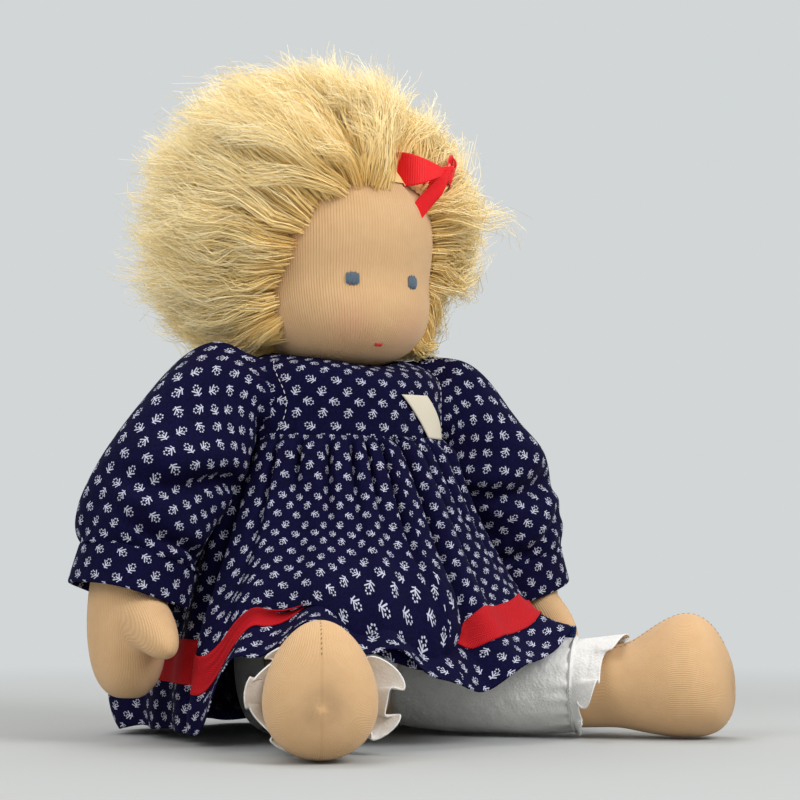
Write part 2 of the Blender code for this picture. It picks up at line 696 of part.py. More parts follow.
def leg(label, side, spread):
    hip = Vector((side * HIP_X, HIP_Y, LEG_AXIS_Z))
    forward = leg_direction(side, spread)
    across = forward.cross(Z_AXIS)
    count = 6
    grow = smoothing_share(count)
    rings = []
    for degrees in (-55, 0):
        angle = math.radians(degrees)
        radius = LEG_RADIUS * math.cos(angle)
        centre = hip + forward * (LEG_RADIUS * math.sin(angle))
        rings.append(ellipse_ring(centre, across, Z_AXIS, radius, radius, count, grow=grow))
    for along, fullness in ((0.3, 1.02), (0.6, 0.98)):
        centre = hip + forward * (along * LEG_LENGTH)
        radius = LEG_RADIUS * fullness
        rings.append(ellipse_ring(centre, across, Z_AXIS, radius, radius, count, grow=grow))
    floor = FIT_GAP
    for along, low, high, width in FOOT_RING_SHARES:
        middle = floor + (low + high) / 2 * FOOT_HEIGHT
        centre = hip + forward * (along * LEG_LENGTH) + Z_AXIS * (middle - LEG_AXIS_Z)
        rings.append(ellipse_ring(centre, across, Z_AXIS, width * FOOT_WIDTH / 2,
                                  (high - low) / 2 * FOOT_HEIGHT, count, FOOT_EGG_SHARE, grow))
    skin_and_core("leg", rings, "_" + label)


# Dress

def yoke_point(angle, height, grow_by):
    """A point of the dress top: height goes from the skirt seam to the neck edge."""
    shoulder = height ** YOKE_SHOULDER_POWER
    half_width = (1 - shoulder) * YOKE_CHEST_SHARE * TORSO_WIDTH / 2 + shoulder * YOKE_NECK_WIDTH / 2
    half_depth = (1 - shoulder) * TORSO_DEPTH / 2 + shoulder * YOKE_NECK_DEPTH / 2
    loose = YOKE_LOOSENESS * (1 - shoulder) + grow_by
    front = max(0.0, math.cos(angle)) ** 2
    z = YOKE_SEAM_Z + height * (YOKE_TOP_Z - YOKE_SEAM_Z) - YOKE_FRONT_DROP * front * height ** 2
    y = TORSO_SETBACK - (half_depth + loose) * math.cos(angle)
    return Vector(((half_width + loose) * math.sin(angle), y, z))


def yoke_panel(name, first_angle, last_angle, columns):
    rings = []
    for height in YOKE_ROW_SHARES:
        ring = []
        for column in range(columns + 1):
            angle = first_angle + (last_angle - first_angle) * column / columns
            ring.append(yoke_point(angle, height, CLOTH_WALL))
        rings.append(ring)
    panel = loft(name, rings, print_material(), caps=(False, False), wrap=False)
    face_outward(panel)
    wall(panel, CLOTH_WALL)
    return panel


def face_outward(obj):
    """Turn an open sheet round where most of it faces the doll's middle line."""
    outward = 0
    for polygon in obj.data.polygons:
        outward += polygon.area * (polygon.normal.x * polygon.center.x + polygon.normal.y * polygon.center.y)
    if outward < 0:
        obj.data.flip_normals()


def yokes():
    seam = 2 * FIT_GAP / TORSO_WIDTH * 2
    quarter = math.pi / 2
    front = yoke_panel("yoke_front", -quarter + seam, quarter - seam, 14)
    left = yoke_panel("yoke_back_left", quarter + seam, 2 * quarter - seam, 8)
    right = yoke_panel("yoke_back_right", -2 * quarter + seam, -quarter - seam, 8)
    for label, side, _ in SIDES:
        hole = round_cutter("armhole_" + label, ARMHOLE_RADIUS, TORSO_WIDTH / 2,
                            Vector((side * TORSO_WIDTH / 2, 0, SHOULDER_Z)), X_AXIS)
        for panel in (front, left, right):
            cut(panel, hole)
    return front, left


def label_and_buttons(front, back):
    cream = material("cream_label", (0.80, 0.72, 0.56), 0.8)
    shell = material("button_white", (0.78, 0.78, 0.76), 0.4)
    direction = Vector((math.sin(LABEL_BEARING), -math.cos(LABEL_BEARING), 0))
    middle_z = YOKE_SEAM_Z + LABEL_ABOVE_SEAM + LABEL_HEIGHT / 2
    point, normal = surface_point(front, Vector((0, 0, middle_z)) + direction * TORSO_WIDTH, -direction)
    bpy.ops.mesh.primitive_cube_add(size=1)
    made = bpy.context.object
    mesh = made.data
    bpy.data.objects.remove(made, do_unlink=True)
    mesh.transform(Matrix.Diagonal((LABEL_WIDTH, LABEL_HEIGHT, LABEL_WALL, 1)))
    mesh.transform(Matrix.Translation((0, 0, LABEL_WALL / 2 + 2 * FIT_GAP)))
    mesh.transform(Matrix.Translation(point) @ normal.to_track_quat("Z", "Y").to_matrix().to_4x4())
    new_object("chest_label", mesh, cream)
    span = YOKE_TOP_Z - YOKE_SEAM_Z
    for number in range(BUTTON_COUNT):
        z = YOKE_SEAM_Z + span * (number + 0.5) / (BUTTON_COUNT + BUTTON_TOP_SHARE)
        offset = Vector((BUTTON_RADIUS / 2, 0, 0))
        point, normal = surface_point(back, Vector((0, TORSO_WIDTH, z)) + offset, -Y_AXIS)
        centre = point - offset + normal * (BUTTON_WALL / 2 + 2 * FIT_GAP)
        button = "back_button_" + str(number + 1)
        disc(button, BUTTON_RADIUS, BUTTON_WALL, centre, normal, 18, shell, parts)


def blend_stations(degrees):
    """The drape shares at a direction, eased between the two stations on either side of it."""
    table = SKIRT_STATION_SHARES + ((180,) + SKIRT_STATION_SHARES[0][1:],)
    for before, after in zip(table, table[1:]):
        if degrees <= after[0]:
            share = (degrees - before[0]) / (after[0] - before[0])
            ease = (1 - math.cos(math.pi * share)) / 2
            return [a + (b - a) * ease for a, b in zip(before[1:], after[1:])]
    return table[-1][1:]


def pleat_depth(drop):
    return PLEAT_DEPTH * (PLEAT_START_SHARE + (1 - PLEAT_START_SHARE) * drop)


def skirt_point(degrees, drop, lift):
    """A point of the skirt at a direction, from the yoke seam (drop 0) to the hem (drop 1)."""
    angle = math.radians(degrees)
    top = math.hypot(SKIRT_TOP_WIDTH / 2 * math.sin(angle), SKIRT_TOP_DEPTH / 2 * math.cos(angle))
    out_1, down_1, out_2, down_2, out_3, down_3 = blend_stations(degrees)
    route = [(top, 0), (out_1 * SKIRT_SPREAD, down_1 * SKIRT_DROP),
             (out_2 * SKIRT_SPREAD, down_2 * SKIRT_DROP), (out_3 * SKIRT_SPREAD, down_3 * SKIRT_DROP)]
    left = 1 - drop
    weights = [left ** 3, 3 * drop * left ** 2, 3 * drop ** 2 * left, drop ** 3]
    out = sum(w * p[0] for w, p in zip(weights, route))
    down = sum(w * p[1] for w, p in zip(weights, route))
    slopes = [-left ** 2, left ** 2 - 2 * drop * left, 2 * drop * left - drop ** 2, drop ** 2]
    slope_out = sum(w * p[0] for w, p in zip(slopes, route))
    slope_down = sum(w * p[1] for w, p in zip(slopes, route))
    length = math.hypot(slope_out, slope_down)
    wave = math.cos(math.radians(degrees) * 2 * PLEATS_PER_HALF)
    pleat = pleat_depth(drop) * (1 + wave) / 2 + lift
    out += slope_down / length * pleat
    down -= slope_out / length * pleat
    z = min(YOKE_SEAM_Z - 3 * FIT_GAP - down, YOKE_SEAM_Z - 3 * FIT_GAP)
    z = max(z, CLOTH_WALL + FIT_GAP)
    return Vector((out * math.sin(angle), -out * math.cos(angle), z))


def skirt_strip(name, side, first_drop, last_drop, rows, lift, thickness, surface):
    columns = 4 * PLEATS_PER_HALF
    rings = []
    for row in range(rows + 1):
        drop = first_drop + (last_drop - first_drop) * row / rows
        ring = []
        for column in range(columns + 1):
            point = skirt_point(side * 180 * column / columns, drop, lift)
            ring.append(point + X_AXIS * (side * (FIT_GAP + CLOTH_WALL) / 2))
        rings.append(ring)
    strip = loft(name, rings, surface, caps=(False, False), wrap=False)
    face_outward(strip)
    wall(strip, thickness)
    return strip


def skirt():
    red = material("red_twill_tape", (0.42, 0.03, 0.03), 0.7)
    tape_end = 1 - TAPE_ABOVE_HEM / SKIRT_DROP
    tape_start = tape_end - TAPE_WIDTH / SKIRT_DROP
    for label, side, _ in SIDES:
        skirt_strip("skirt_" + label, side, 0.0, 1.0, 6, 0.0, CLOTH_WALL, print_material())
        lift = TAPE_WALL + 2 * FIT_GAP
        skirt_strip("hem_tape_" + label, side, tape_start, tape_end, 1, lift, TAPE_WALL, red)


def clear_of_skirt(point):
    """Move a point of a sleeve outward where the skirt or the dress top is in its way."""
    flat = Vector((point.x, point.y, 0))
    drop = max(0.0, (YOKE_SEAM_Z - point.z) / SKIRT_DROP)
    body = skirt_point(math.degrees(math.atan2(point.x, -point.y)), drop, pleat_depth(drop))
    clearance = math.hypot(body.x, body.y) + 4 * FIT_GAP
    if flat.length < clearance:
        flat *= clearance / flat.length
    return Vector((flat.x, flat.y, point.z))


def sleeve_ring(side, out, up, fullness, turn_share):
    lean = turn_share * (math.pi / 2 - CUFF_LEAN)
    x = SLEEVE_TOP_X + out * (CUFF_TOP_X - SLEEVE_TOP_X)
    z = CUFF_TOP_Z + up * (SLEEVE_TOP_Z - CUFF_TOP_Z)
    across = Vector((side * math.sin(lean), 0, math.cos(lean)))
    half_across = fullness * SLEEVE_FULLNESS
    half_depth = fullness * SLEEVE_FULLNESS
    if out == 0:
        half_across = SLEEVE_TOP_HEIGHT / 2
        half_depth = SLEEVE_TOP_DEPTH / 2
    count = 4 * SLEEVE_TUCKS
    ring = []
    for step in range(count):
        angle = 2 * math.pi * step / count
        tuck = SLEEVE_TUCK_DEPTH * math.cos(SLEEVE_TUCKS * angle)
        point = Vector((side * x, 0, z)) + across * ((half_across + tuck) * math.cos(angle))
        point += Y_AXIS * ((half_depth + tuck) * math.sin(angle))
        ring.append(clear_of_skirt(point))
    return ring


def sleeve(label, side):
    rings = [sleeve_ring(side, 0, 1, 1, 0)]
    for out, up, fullness, turn_share in SLEEVE_PATH_SHARES:
        rings.append(sleeve_ring(side, out, up, fullness, turn_share))
    puff = loft("sleeve_" + label, rings, print_material(), caps=(False, False))
    wall(puff, CLOTH_WALL)
    heading = Vector((side * math.sin(CUFF_LEAN), 0, -math.cos(CUFF_LEAN)))
    start = Vector((side * CUFF_TOP_X, 0, CUFF_TOP_Z))
    across = Vector((side * math.cos(CUFF_LEAN), 0, math.sin(CUFF_LEAN)))
    band = []
    for share in (0.0, 1.0):
        centre = start + heading * (2 * FIT_GAP + share * CUFF_LENGTH)
        band.append(ellipse_ring(centre, across, Y_AXIS, CUFF_RADIUS, CUFF_RADIUS, 20))
    cuff = loft("cuff_" + label, band, print_material(), caps=(False, False))
    wall(cuff, CLOTH_WALL)


# Bloomers

def bloomers_seat():
    rings = []
    count = 8
    grow = smoothing_share(count)
    reach = CLOTH_WALL + 3 * FIT_GAP
    for height, width, depth, forward in TORSO_RING_SHARES[:5]:
        z = TORSO_BASE_Z + height * TORSO_HEIGHT
        if height == 0:
            z = -SEAT_FLATTENED
        centre = Vector((0, TORSO_SETBACK - forward * TORSO_DEPTH, z))
        rings.append(ellipse_ring(centre, X_AXIS, Y_AXIS, width * TORSO_WIDTH / 2 + reach,
                                  depth * TORSO_DEPTH / 2 + reach, count, grow=grow))
    rings.reverse()
    seat = loft("bloomers_seat", rings, white_cotton(), caps=(False, True))
    smooth(seat)
    wall(seat, CLOTH_WALL)
    below = Vector((0, 0, -CUT_OVERRUN / 2))
    cut(seat, box_cutter("floor", (TORSO_WIDTH * 2, TORSO_WIDTH * 2, CUT_OVERRUN), below))
    radius = LEG_RADIUS + BLOOMER_LOOSENESS + CLOTH_WALL + JOINT_GAP
    for label, side, spread in SIDES:
        cut(seat, leg_well("seat_well_" + label, side, spread, radius))
    height, width, depth, forward = TORSO_RING_SHARES[4]
    out = reach - ELASTIC_RADIUS / 2
    z = TORSO_BASE_Z + height * TORSO_HEIGHT + 2 * ELASTIC_RADIUS
    torus("waist_elastic", width * TORSO_WIDTH / 2 + out, depth * TORSO_DEPTH / 2 + out,
          Vector((0, TORSO_SETBACK - forward * TORSO_DEPTH, z)), ELASTIC_RADIUS, elastic_material())


def bloomer_leg(label, side, spread):
    hip = Vector((side * HIP_X, HIP_Y, LEG_AXIS_Z))
    forward = leg_direction(side, spread)
    across = forward.cross(Z_AXIS)
    outer = LEG_RADIUS + BLOOMER_LOOSENESS + CLOTH_WALL
    rings = []
    for along in (BLOOMER_LEG_START, BLOOMER_LEG_END):
        rings.append(ellipse_ring(hip + forward * along, across, Z_AXIS, outer, outer, 18))
    tube = loft("bloomer_leg_" + label, rings, white_cotton(), caps=(False, False))
    wall(tube, CLOTH_WALL)
    middle = LEG_RADIUS + BLOOMER_LOOSENESS + ELASTIC_RADIUS
    start = BLOOMER_LEG_END + FIT_GAP + ELASTIC_RADIUS
    band = torus("leg_elastic_" + label, middle, middle, Vector(), ELASTIC_RADIUS, elastic_material(),
                 segments=16)
    turn = forward.to_track_quat("Z", "Y").to_matrix().to_4x4()
    band.data.transform(Matrix.Translation(hip + forward * start) @ turn)
    first = start + ELASTIC_RADIUS + FIT_GAP
    count = 4 * FRILL_WAVES
    rings = []
    for share in (0.0, 0.5, 1.0):
        ring = []
        for step in range(count):
            angle = 2 * math.pi * step / count
            wave = FRILL_WAVE_DEPTH * share * math.cos(FRILL_WAVES * angle)
            half_side = outer + (FRILL_WIDTH / 2 - outer) * share + wave
            half_up = outer + (FRILL_HEIGHT / 2 - outer) * share - abs(wave)
            along = first + FRILL_LENGTH * share + wave
            ring.append(hip + forward * along + across * (half_side * math.cos(angle))
                        + Z_AXIS * (half_up * math.sin(angle)))
        rings.append(ring)
    frill = loft("frill_" + label, rings, white_cotton(), caps=(False, False))
    wall(frill, CLOTH_WALL)


# Joints

def hang(name, pivot, nodes):
    """Hang the pieces of a moving body on an empty that sits on its joint."""
    joint = bpy.data.objects.new(name, None)
    joint.location = pivot
    parts.objects.link(joint)
    for node in nodes:
        obj = bpy.data.objects[node]
        obj.data.transform(Matrix.Translation(-pivot))
        obj.parent = joint


def joints():
    pivot = Vector((0, 0, HEAD_PIVOT_Z))
    hang("neck_turn_joint", pivot, ("neck_roll", "neck_tie"))
    hang("head_nod_joint", pivot, (
        "head_skin", "head_stuffing", "eye_line_thread", "eye_left", "eye_right", "mouth", "wig_cap", "hair",
        "bow_knot", "bow_loop_left", "bow_loop_right", "bow_tail_left", "bow_tail_right"))
    for label, side, _ in SIDES:
        hang("shoulder_joint_" + label, Vector((side * SHOULDER_X, 0, SHOULDER_Z)),
             ("arm_skin_" + label, "arm_stuffing_" + label, "cuff_" + label))
        hang("hip_joint_" + label, Vector((side * HIP_X, HIP_Y, LEG_AXIS_Z)),
             ("leg_skin_" + label, "leg_stuffing_" + label, "bloomer_leg_" + label,
              "leg_elastic_" + label, "frill_" + label))


def main():
    clear_scene()
    torso()
    neck()
    skin = head()
    face(skin)
    hair()
    bow()
    for label, side, spread in SIDES:
        arm(label, side)
        leg(label, side, spread)
        sleeve(label, side)
        bloomer_leg(label, side, spread)
    front, back = yokes()
    label_and_buttons(front, back)
    skirt()
    bloomers_seat()
    joints()


main()
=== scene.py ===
"""A seated cloth doll, dressed and in a plain pale studio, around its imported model.

Metres, +Z up. The doll sits on the origin, its chest faces -Y and its own left side is at +X.
Angles round the doll are measured from -Y towards +X.
"""
import math

import bmesh
import bpy
import numpy as np
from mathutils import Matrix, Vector


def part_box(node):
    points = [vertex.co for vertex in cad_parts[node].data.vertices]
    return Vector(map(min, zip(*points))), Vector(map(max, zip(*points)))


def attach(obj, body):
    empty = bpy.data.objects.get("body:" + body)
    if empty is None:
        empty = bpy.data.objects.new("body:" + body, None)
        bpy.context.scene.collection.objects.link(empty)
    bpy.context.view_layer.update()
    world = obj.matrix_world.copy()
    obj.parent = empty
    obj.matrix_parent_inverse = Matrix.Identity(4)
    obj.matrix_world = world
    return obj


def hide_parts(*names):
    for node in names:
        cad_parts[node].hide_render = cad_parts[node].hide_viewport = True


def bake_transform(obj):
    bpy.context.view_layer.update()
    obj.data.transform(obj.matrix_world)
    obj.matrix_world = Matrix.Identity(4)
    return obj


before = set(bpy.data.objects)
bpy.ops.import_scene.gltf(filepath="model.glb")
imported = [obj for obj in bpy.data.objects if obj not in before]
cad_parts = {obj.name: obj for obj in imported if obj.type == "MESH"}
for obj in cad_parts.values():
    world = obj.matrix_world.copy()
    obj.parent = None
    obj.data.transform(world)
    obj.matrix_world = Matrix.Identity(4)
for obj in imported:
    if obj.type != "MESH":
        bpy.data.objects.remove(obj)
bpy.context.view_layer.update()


# The camera stands low and far off, past the doll's right knee, and looks slightly up at it.
# The lens is long, so the near foot is only a little larger than the far one.
CAMERA_AT = Vector((-0.5366, -0.844, 0.070))
CAMERA_AZIMUTH = math.radians(-34)
CAMERA_PITCH = math.radians(3.97)
LENS = 107.1

camera = bpy.data.objects.new("camera", bpy.data.cameras.new("camera"))
camera.data.lens = LENS
camera.location = CAMERA_AT
camera.rotation_euler = (math.pi / 2 + CAMERA_PITCH, 0, CAMERA_AZIMUTH)
bpy.context.scene.collection.objects.link(camera)
bpy.context.scene.camera = camera


# The torso is a knitted bag stuffed hard with wool, drawn in towards the neck. Nothing of it shows
# but a little at the neckline. The skin is a fine cotton jersey, its ribs running along each limb.
TORSO_BASE = 0.0024
TORSO_HEIGHT = 0.1455
TORSO_WIDTH = 0.088
TORSO_DEPTH = 0.066
TORSO_SETBACK = 0.001
# height, width and depth as shares, and the forward shift as a share of the depth
TORSO_RINGS = (
    (0.0, 0.0, 0.0, 0.0), (0.0, 0.50, 0.46, 0.0), (0.0, 0.70, 0.66, 0.0), (0.06, 0.93, 0.90, 0.0),
    (0.24, 1.0, 1.0, 0.02), (0.47, 0.95, 1.0, 0.03), (0.70, 0.87, 0.93, 0.02), (0.88, 0.83, 0.80, 0.0),
    (0.975, 0.68, 0.64, 0.0), (1.0, 0.42, 0.56, 0.0), (1.0, 0.36, 0.48, 0.0),
)
SKIN_COLOUR = (0.71, 0.463, 0.247, 1)
# the darker knit colour: random mottle, and the painted shade along the leg seams
SKIN_MOTTLE_AND_SHADE = (0.61, 0.373, 0.180, 1)
WALE_WIDTH = 0.00105
COURSE_HEIGHT = 0.0009
KNIT_DEPTH = 0.00013
# rings of knit shorter than this lose their relief, as their stitches crowd together
CALM_GIRTH = 0.035
TORSO_GRID = (60, 80)


class Number:
    """A number or colour that a finish works out, so that its sums read as plain Python."""

    def __init__(self, finish, socket):
        self.finish = finish
        self.socket = socket

    def math(self, operation, *others):
        inputs = {place: value for place, value in enumerate((self, *others))}
        made = self.finish.node("ShaderNodeMath", {"operation": operation}, inputs)
        return Number(self.finish, made.outputs[0])

    def __add__(self, other):
        return self.math("ADD", other)

    def __sub__(self, other):
        return self.math("SUBTRACT", other)

    def __rsub__(self, other):
        return (self * -1).math("ADD", other)

    def __mul__(self, other):
        return self.math("MULTIPLY", other)

    def __truediv__(self, other):
        return self.math("DIVIDE", other)

    def __pow__(self, other):
        return self.math("POWER", other)

    __radd__ = __add__
    __rmul__ = __mul__

    def ease(self, low, high, to_low=0.0, to_high=1.0):
        """Runs smoothly from one value to another as the number goes from low to high."""
        inputs = {"Value": self, "From Min": low, "From Max": high, "To Min": to_low, "To Max": to_high}
        made = self.finish.node("ShaderNodeMapRange", {"interpolation_type": "SMOOTHSTEP"}, inputs)
        return Number(self.finish, made.outputs[0])


class Sums:
    """Nodes put into one tree, and the numbers and colours that they work out."""

    def __init__(self, tree):
        self.tree = tree

    def node(self, kind, settings, inputs):
        made = self.tree.nodes.new(kind)
        for name, value in settings.items():
            if name == "stops":
                for stop, (place, colour) in zip(made.color_ramp.elements, value):
                    stop.position = place
                    stop.color = colour
            else:
                setattr(made, name, value)
        for name, value in inputs.items():
            if isinstance(value, Number):
                self.tree.links.new(value.socket, made.inputs[name])
            else:
                made.inputs[name].default_value = value
        return made

    def result(self, kind, settings, inputs, output=0):
        return Number(self, self.node(kind, settings, inputs).outputs[output])

    def place(self, uv=None):
        """The three parts of a point's place: in the piece's own UV map, or in the doll."""
        if uv:
            where = self.result("ShaderNodeUVMap", {"uv_map": uv}, {})
        else:
            where = self.result("ShaderNodeTexCoord", {}, {}, "Object")
        parts = self.node("ShaderNodeSeparateXYZ", {}, {0: where})
        return where, [Number(self, parts.outputs[axis]) for axis in range(3)]

    def join(self, x, y, z=0.0):
        return self.result("ShaderNodeCombineXYZ", {}, {0: x, 1: y, 2: z})

    def noise(self, where, scale, detail=2.0):
        return self.result("ShaderNodeTexNoise", {}, {"Vector": where, "Scale": scale, "Detail": detail})

    def mix(self, share, low, high):
        inputs = {0: share, 6: low, 7: high}
        return self.result("ShaderNodeMix", {"data_type": "RGBA"}, inputs, 2)


class Finish(Sums):
    """One material, built node by node."""

    def __init__(self, name, colour, roughness, sheen=0.0):
        self.material = bpy.data.materials.new(name)
        self.material.use_nodes = True
        super().__init__(self.material.node_tree)
        self.shader = self.tree.nodes["Principled BSDF"]
        self.shader.inputs["Base Color"].default_value = colour
        self.shader.inputs["Roughness"].default_value = roughness
        self.shader.inputs["Sheen Weight"].default_value = sheen
        self.shader.inputs["Specular IOR Level"].default_value = 0.25

    def set(self, **sockets):
        for name, value in sockets.items():
            self.tree.links.new(value.socket, self.shader.inputs[name.replace("_", " ")])

    def relief(self, height, depth):
        inputs = {"Height": height, "Distance": depth, "Strength": 1.0}
        self.set(Normal=self.result("ShaderNodeBump", {}, inputs))


def round_turns(count, start=0.0):
    """Evenly spaced angles once round, the last one short of the first."""
    return np.linspace(0, 2 * math.pi, count, endpoint=False) + start


def bump(value, at, spread):
    """1 where the value is at a place, and less and less away from it."""
    return np.exp(-((value - at) / spread) ** 2)


def bezier(share, *points):
    """A point of the curve that four points draw, at a share of its way."""
    left = 1 - share
    weights = (left ** 3, 3 * share * left ** 2, 3 * share ** 2 * left, share ** 3)
    return sum(weight * point for weight, point in zip(weights, points))


def between(rows, count):
    """Rows of numbers read off a smooth curve that follows a few given ones."""
    rows = np.array(rows, float)
    held = np.vstack([2 * rows[0] - rows[1], rows, 2 * rows[-1] - rows[-2]])
    steps = np.linspace(0, len(rows) - 1, count)
    first = np.minimum(steps.astype(int), len(rows) - 2)
    share = (steps - first)[:, None]
    shares = ((1 - share) ** 3, 3 * share ** 3 - 6 * share ** 2 + 4,
              -3 * share ** 3 + 3 * share ** 2 + 3 * share + 1, share ** 3)
    return sum(weight * held[first + offset] for offset, weight in enumerate(shares)) / 6


def link_mesh(name, points, faces, surface):
    mesh = bpy.data.meshes.new(name)
    faces = faces.tolist() if isinstance(faces, np.ndarray) else faces
    mesh.from_pydata(np.asarray(points).reshape(-1, 3).tolist(), [], faces)
    mesh.shade_smooth()
    mesh.materials.append(surface)
    made = bpy.data.objects.new(name, mesh)
    bpy.context.scene.collection.objects.link(made)
    return made


def face_out(made, middle=None):
    """Turns a shell round where most of it faces its own middle."""
    mesh = made.data
    centres = np.zeros(len(mesh.polygons) * 3)
    normals = np.zeros(len(mesh.polygons) * 3)
    areas = np.zeros(len(mesh.polygons))
    mesh.polygons.foreach_get("center", centres)
    mesh.polygons.foreach_get("normal", normals)
    mesh.polygons.foreach_get("area", areas)
    centres = centres.reshape(-1, 3)
    middle = centres.mean(0) if middle is None else np.array(middle)
    if (areas * ((centres - middle) * normals.reshape(-1, 3)).sum(1)).sum() < 0:
        mesh.flip_normals()


def drop_faces(made, goes):
    """Takes out the faces of a piece whose middle point answers yes to a question."""
    mesh = bmesh.new()
    mesh.from_mesh(made.data)
    gone = [face for face in mesh.faces if goes(face.calc_center_median())]
    bmesh.ops.delete(mesh, geom=gone, context="FACES")
    mesh.to_mesh(made.data)
    mesh.free()


def skin(name, points, uv, surface, closed=True, middle=None):
    """A quad skin over a grid of points, rows along and columns across, with its flat plan as a UV map."""
    rows, columns = points.shape[:2]
    across = columns if closed else columns - 1
    row = np.arange(rows - 1)[:, None]
    column = np.arange(across)[None, :]
    after = (column + 1) % columns
    here, below = row * columns, (row + 1) * columns
    corners = [here + column, here + after, below + after, below + column]
    faces = np.stack(corners, -1).reshape(-1, 4)
    plan = np.stack([uv[row, column], uv[row, column + 1], uv[row + 1, column + 1], uv[row + 1, column]], 2)
    made = link_mesh(name, points, faces, surface)
    layer = made.data.uv_layers.new(name="cloth")
    layer.data.foreach_set("uv", plan.reshape(-1).astype(np.float32))
    girth = np.linalg.norm(np.diff(points, axis=1), axis=2).sum(1)
    calm = np.repeat(np.clip(girth / CALM_GIRTH, 0, 1), columns)
    made.data.attributes.new("calm", "FLOAT", "POINT").data.foreach_set("value", calm.astype(np.float32))
    face_out(made, middle)
    return made


def plan_of(points, closed=True, to_end=False):
    """Real lengths across and along a grid of points, for its UV map. With to_end the last row is at 0."""
    round_trip = np.concatenate([points, points[:, :1]], 1) if closed else points
    across = np.linalg.norm(np.diff(round_trip, axis=1), axis=2).mean(0)
    along = np.linalg.norm(np.diff(round_trip, axis=0), axis=2).mean(1)
    u = np.concatenate([[0], np.cumsum(across)])
    v = np.concatenate([[0], np.cumsum(along)])
    grid = np.zeros((len(v), len(u), 2))
    grid[..., 0] = u - u[-1] / 2
    grid[..., 1] = v[:, None] - to_end * v[-1]
    return grid


def ellipses(rows, side, up, turns):
    """Points of level or leaning ellipses: each row is a centre and two half sizes."""
    centre = rows[:, None, :3]
    half_side = rows[:, 3, None, None] * np.cos(turns)[None, :, None]
    half_up = rows[:, 4, None, None] * np.sin(turns)[None, :, None]
    return centre + half_side * np.array(side, float) + half_up * np.array(up, float)


def modify(made, kind, **settings):
    """Applies one modifier for good."""
    modifier = made.modifiers.new(kind.lower(), kind)
    for name, value in settings.items():
        setattr(modifier, name, value)
    ready = made.evaluated_get(bpy.context.evaluated_depsgraph_get())
    mesh = bpy.data.meshes.new_from_object(ready)
    made.modifiers.clear()
    made.data = mesh


def knit_finish(name, extra=None, wale=WALE_WIDTH, depth=KNIT_DEPTH):
    """Fine jersey: columns of V stitches, slightly mottled. extra adds to the colour of one piece."""
    finish = Finish(name, SKIN_COLOUR, 0.85, sheen=0.15)
    where, (across, along, _) = finish.place("cloth")
    _, (x, y, z) = finish.place()
    column = (across * (1 / wale)).math("FRACT") - 0.5
    lean = column.math("ABSOLUTE")
    leg = ((lean - 0.25) * (4 * math.pi)).math("COSINE") * 0.5 + 0.5
    course = ((along * (1 / COURSE_HEIGHT) + lean * 2.2) * (2 * math.pi)).math("COSINE") * 0.5 + 0.5
    calm = finish.result("ShaderNodeAttribute", {"attribute_name": "calm"}, {}, "Fac")
    height = (leg * 0.7 + leg * course * 0.5) * calm
    mottle = finish.noise(finish.join(x, y, z), 160, 3)
    patch = finish.noise(finish.join(x, y, z), 22, 2)
    tone = mottle * 0.45 + (height + (1 - calm) * 0.45) * 0.35 + patch * 0.2
    colour = finish.mix(tone.ease(0.15, 0.85), SKIN_MOTTLE_AND_SHADE, SKIN_COLOUR)
    if extra:
        colour = extra(finish, colour, x, y, z)
    finish.set(Base_Color=colour)
    finish.relief(height + mottle * 0.6, depth)
    return finish.material


knit = knit_finish("knitted_skin")
table = [[0, TORSO_SETBACK - forward * TORSO_DEPTH, TORSO_BASE + height * TORSO_HEIGHT,
          width * TORSO_WIDTH / 2, depth * TORSO_DEPTH / 2] for height, width, depth, forward in TORSO_RINGS]
torso_rows = between(table, TORSO_GRID[0])
points = ellipses(torso_rows, (1, 0, 0), (0, 1, 0), round_turns(TORSO_GRID[1]))
torso = skin("torso_knit", points, plan_of(points), knit)
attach(torso, "torso")
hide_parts("torso_skin")

wool = Finish("carded_wool", (0.80, 0.76, 0.66, 1), 0.95, sheen=0.2)
where, _ = wool.place()
tufts = wool.noise(where, 240, 5)
wool.set(Base_Color=wool.mix(tufts, (0.68, 0.62, 0.50, 1), (0.86, 0.83, 0.75, 1)))
wool.relief(tufts, 0.0006)
STUFFED = ("torso_stuffing", "head_stuffing", "arm_stuffing_left", "arm_stuffing_right",
           "leg_stuffing_left", "leg_stuffing_right")
for node in STUFFED:
    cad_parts[node].data.materials[0] = wool.material


# The neck is the rolled end of the inner head tube, tied off with strong thread. The head turns on
# it and nods over its round top. It stays hidden between the chin and the dress's neckline.
TIE_COLOUR = (0.86, 0.86, 0.84, 1)

jersey = Finish("inner_jersey", (0.72, 0.55, 0.38, 1), 0.9, sheen=0.15)
where, (_, _, z) = jersey.place()
ribs = ((z * 900).math("SINE") * 0.5 + 0.5) * 0.5 + jersey.noise(where, 300) * 0.5
jersey.set(Base_Color=jersey.mix(ribs, (0.62, 0.46, 0.31, 1), (0.76, 0.60, 0.43, 1)))
jersey.relief(ribs, 0.0002)
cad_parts["neck_roll"].data.materials[0] = jersey.material

thread = Finish("tying_thread", TIE_COLOUR, 0.6, sheen=0.1)
_, (x, y, z) = thread.place()
twist = ((x + y + z * 0.7) * 7000).math("SINE") * 0.5 + 0.5
thread.set(Base_Color=thread.mix(twist, (0.70, 0.70, 0.67, 1), TIE_COLOUR))
thread.relief(twist, 0.0001)
for node in ("neck_tie", "eye_line_thread"):
    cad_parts[node].data.materials[0] = thread.material


# The head is a wool ball under a jersey skin. A thread tied round it at eye height draws it in, so the
# forehead stands proud of the cheeks. It is turned a little to the doll's right. A breath of rouge is
# rubbed into the cheeks.
HEAD_WIDTH = 0.077
HEAD_DEPTH = 0.081
HEAD_HEIGHT = 0.094
HEAD_BASE = 0.1535
HEAD_FORWARD = 0.003
FACE_TURN = math.radians(-3.5)
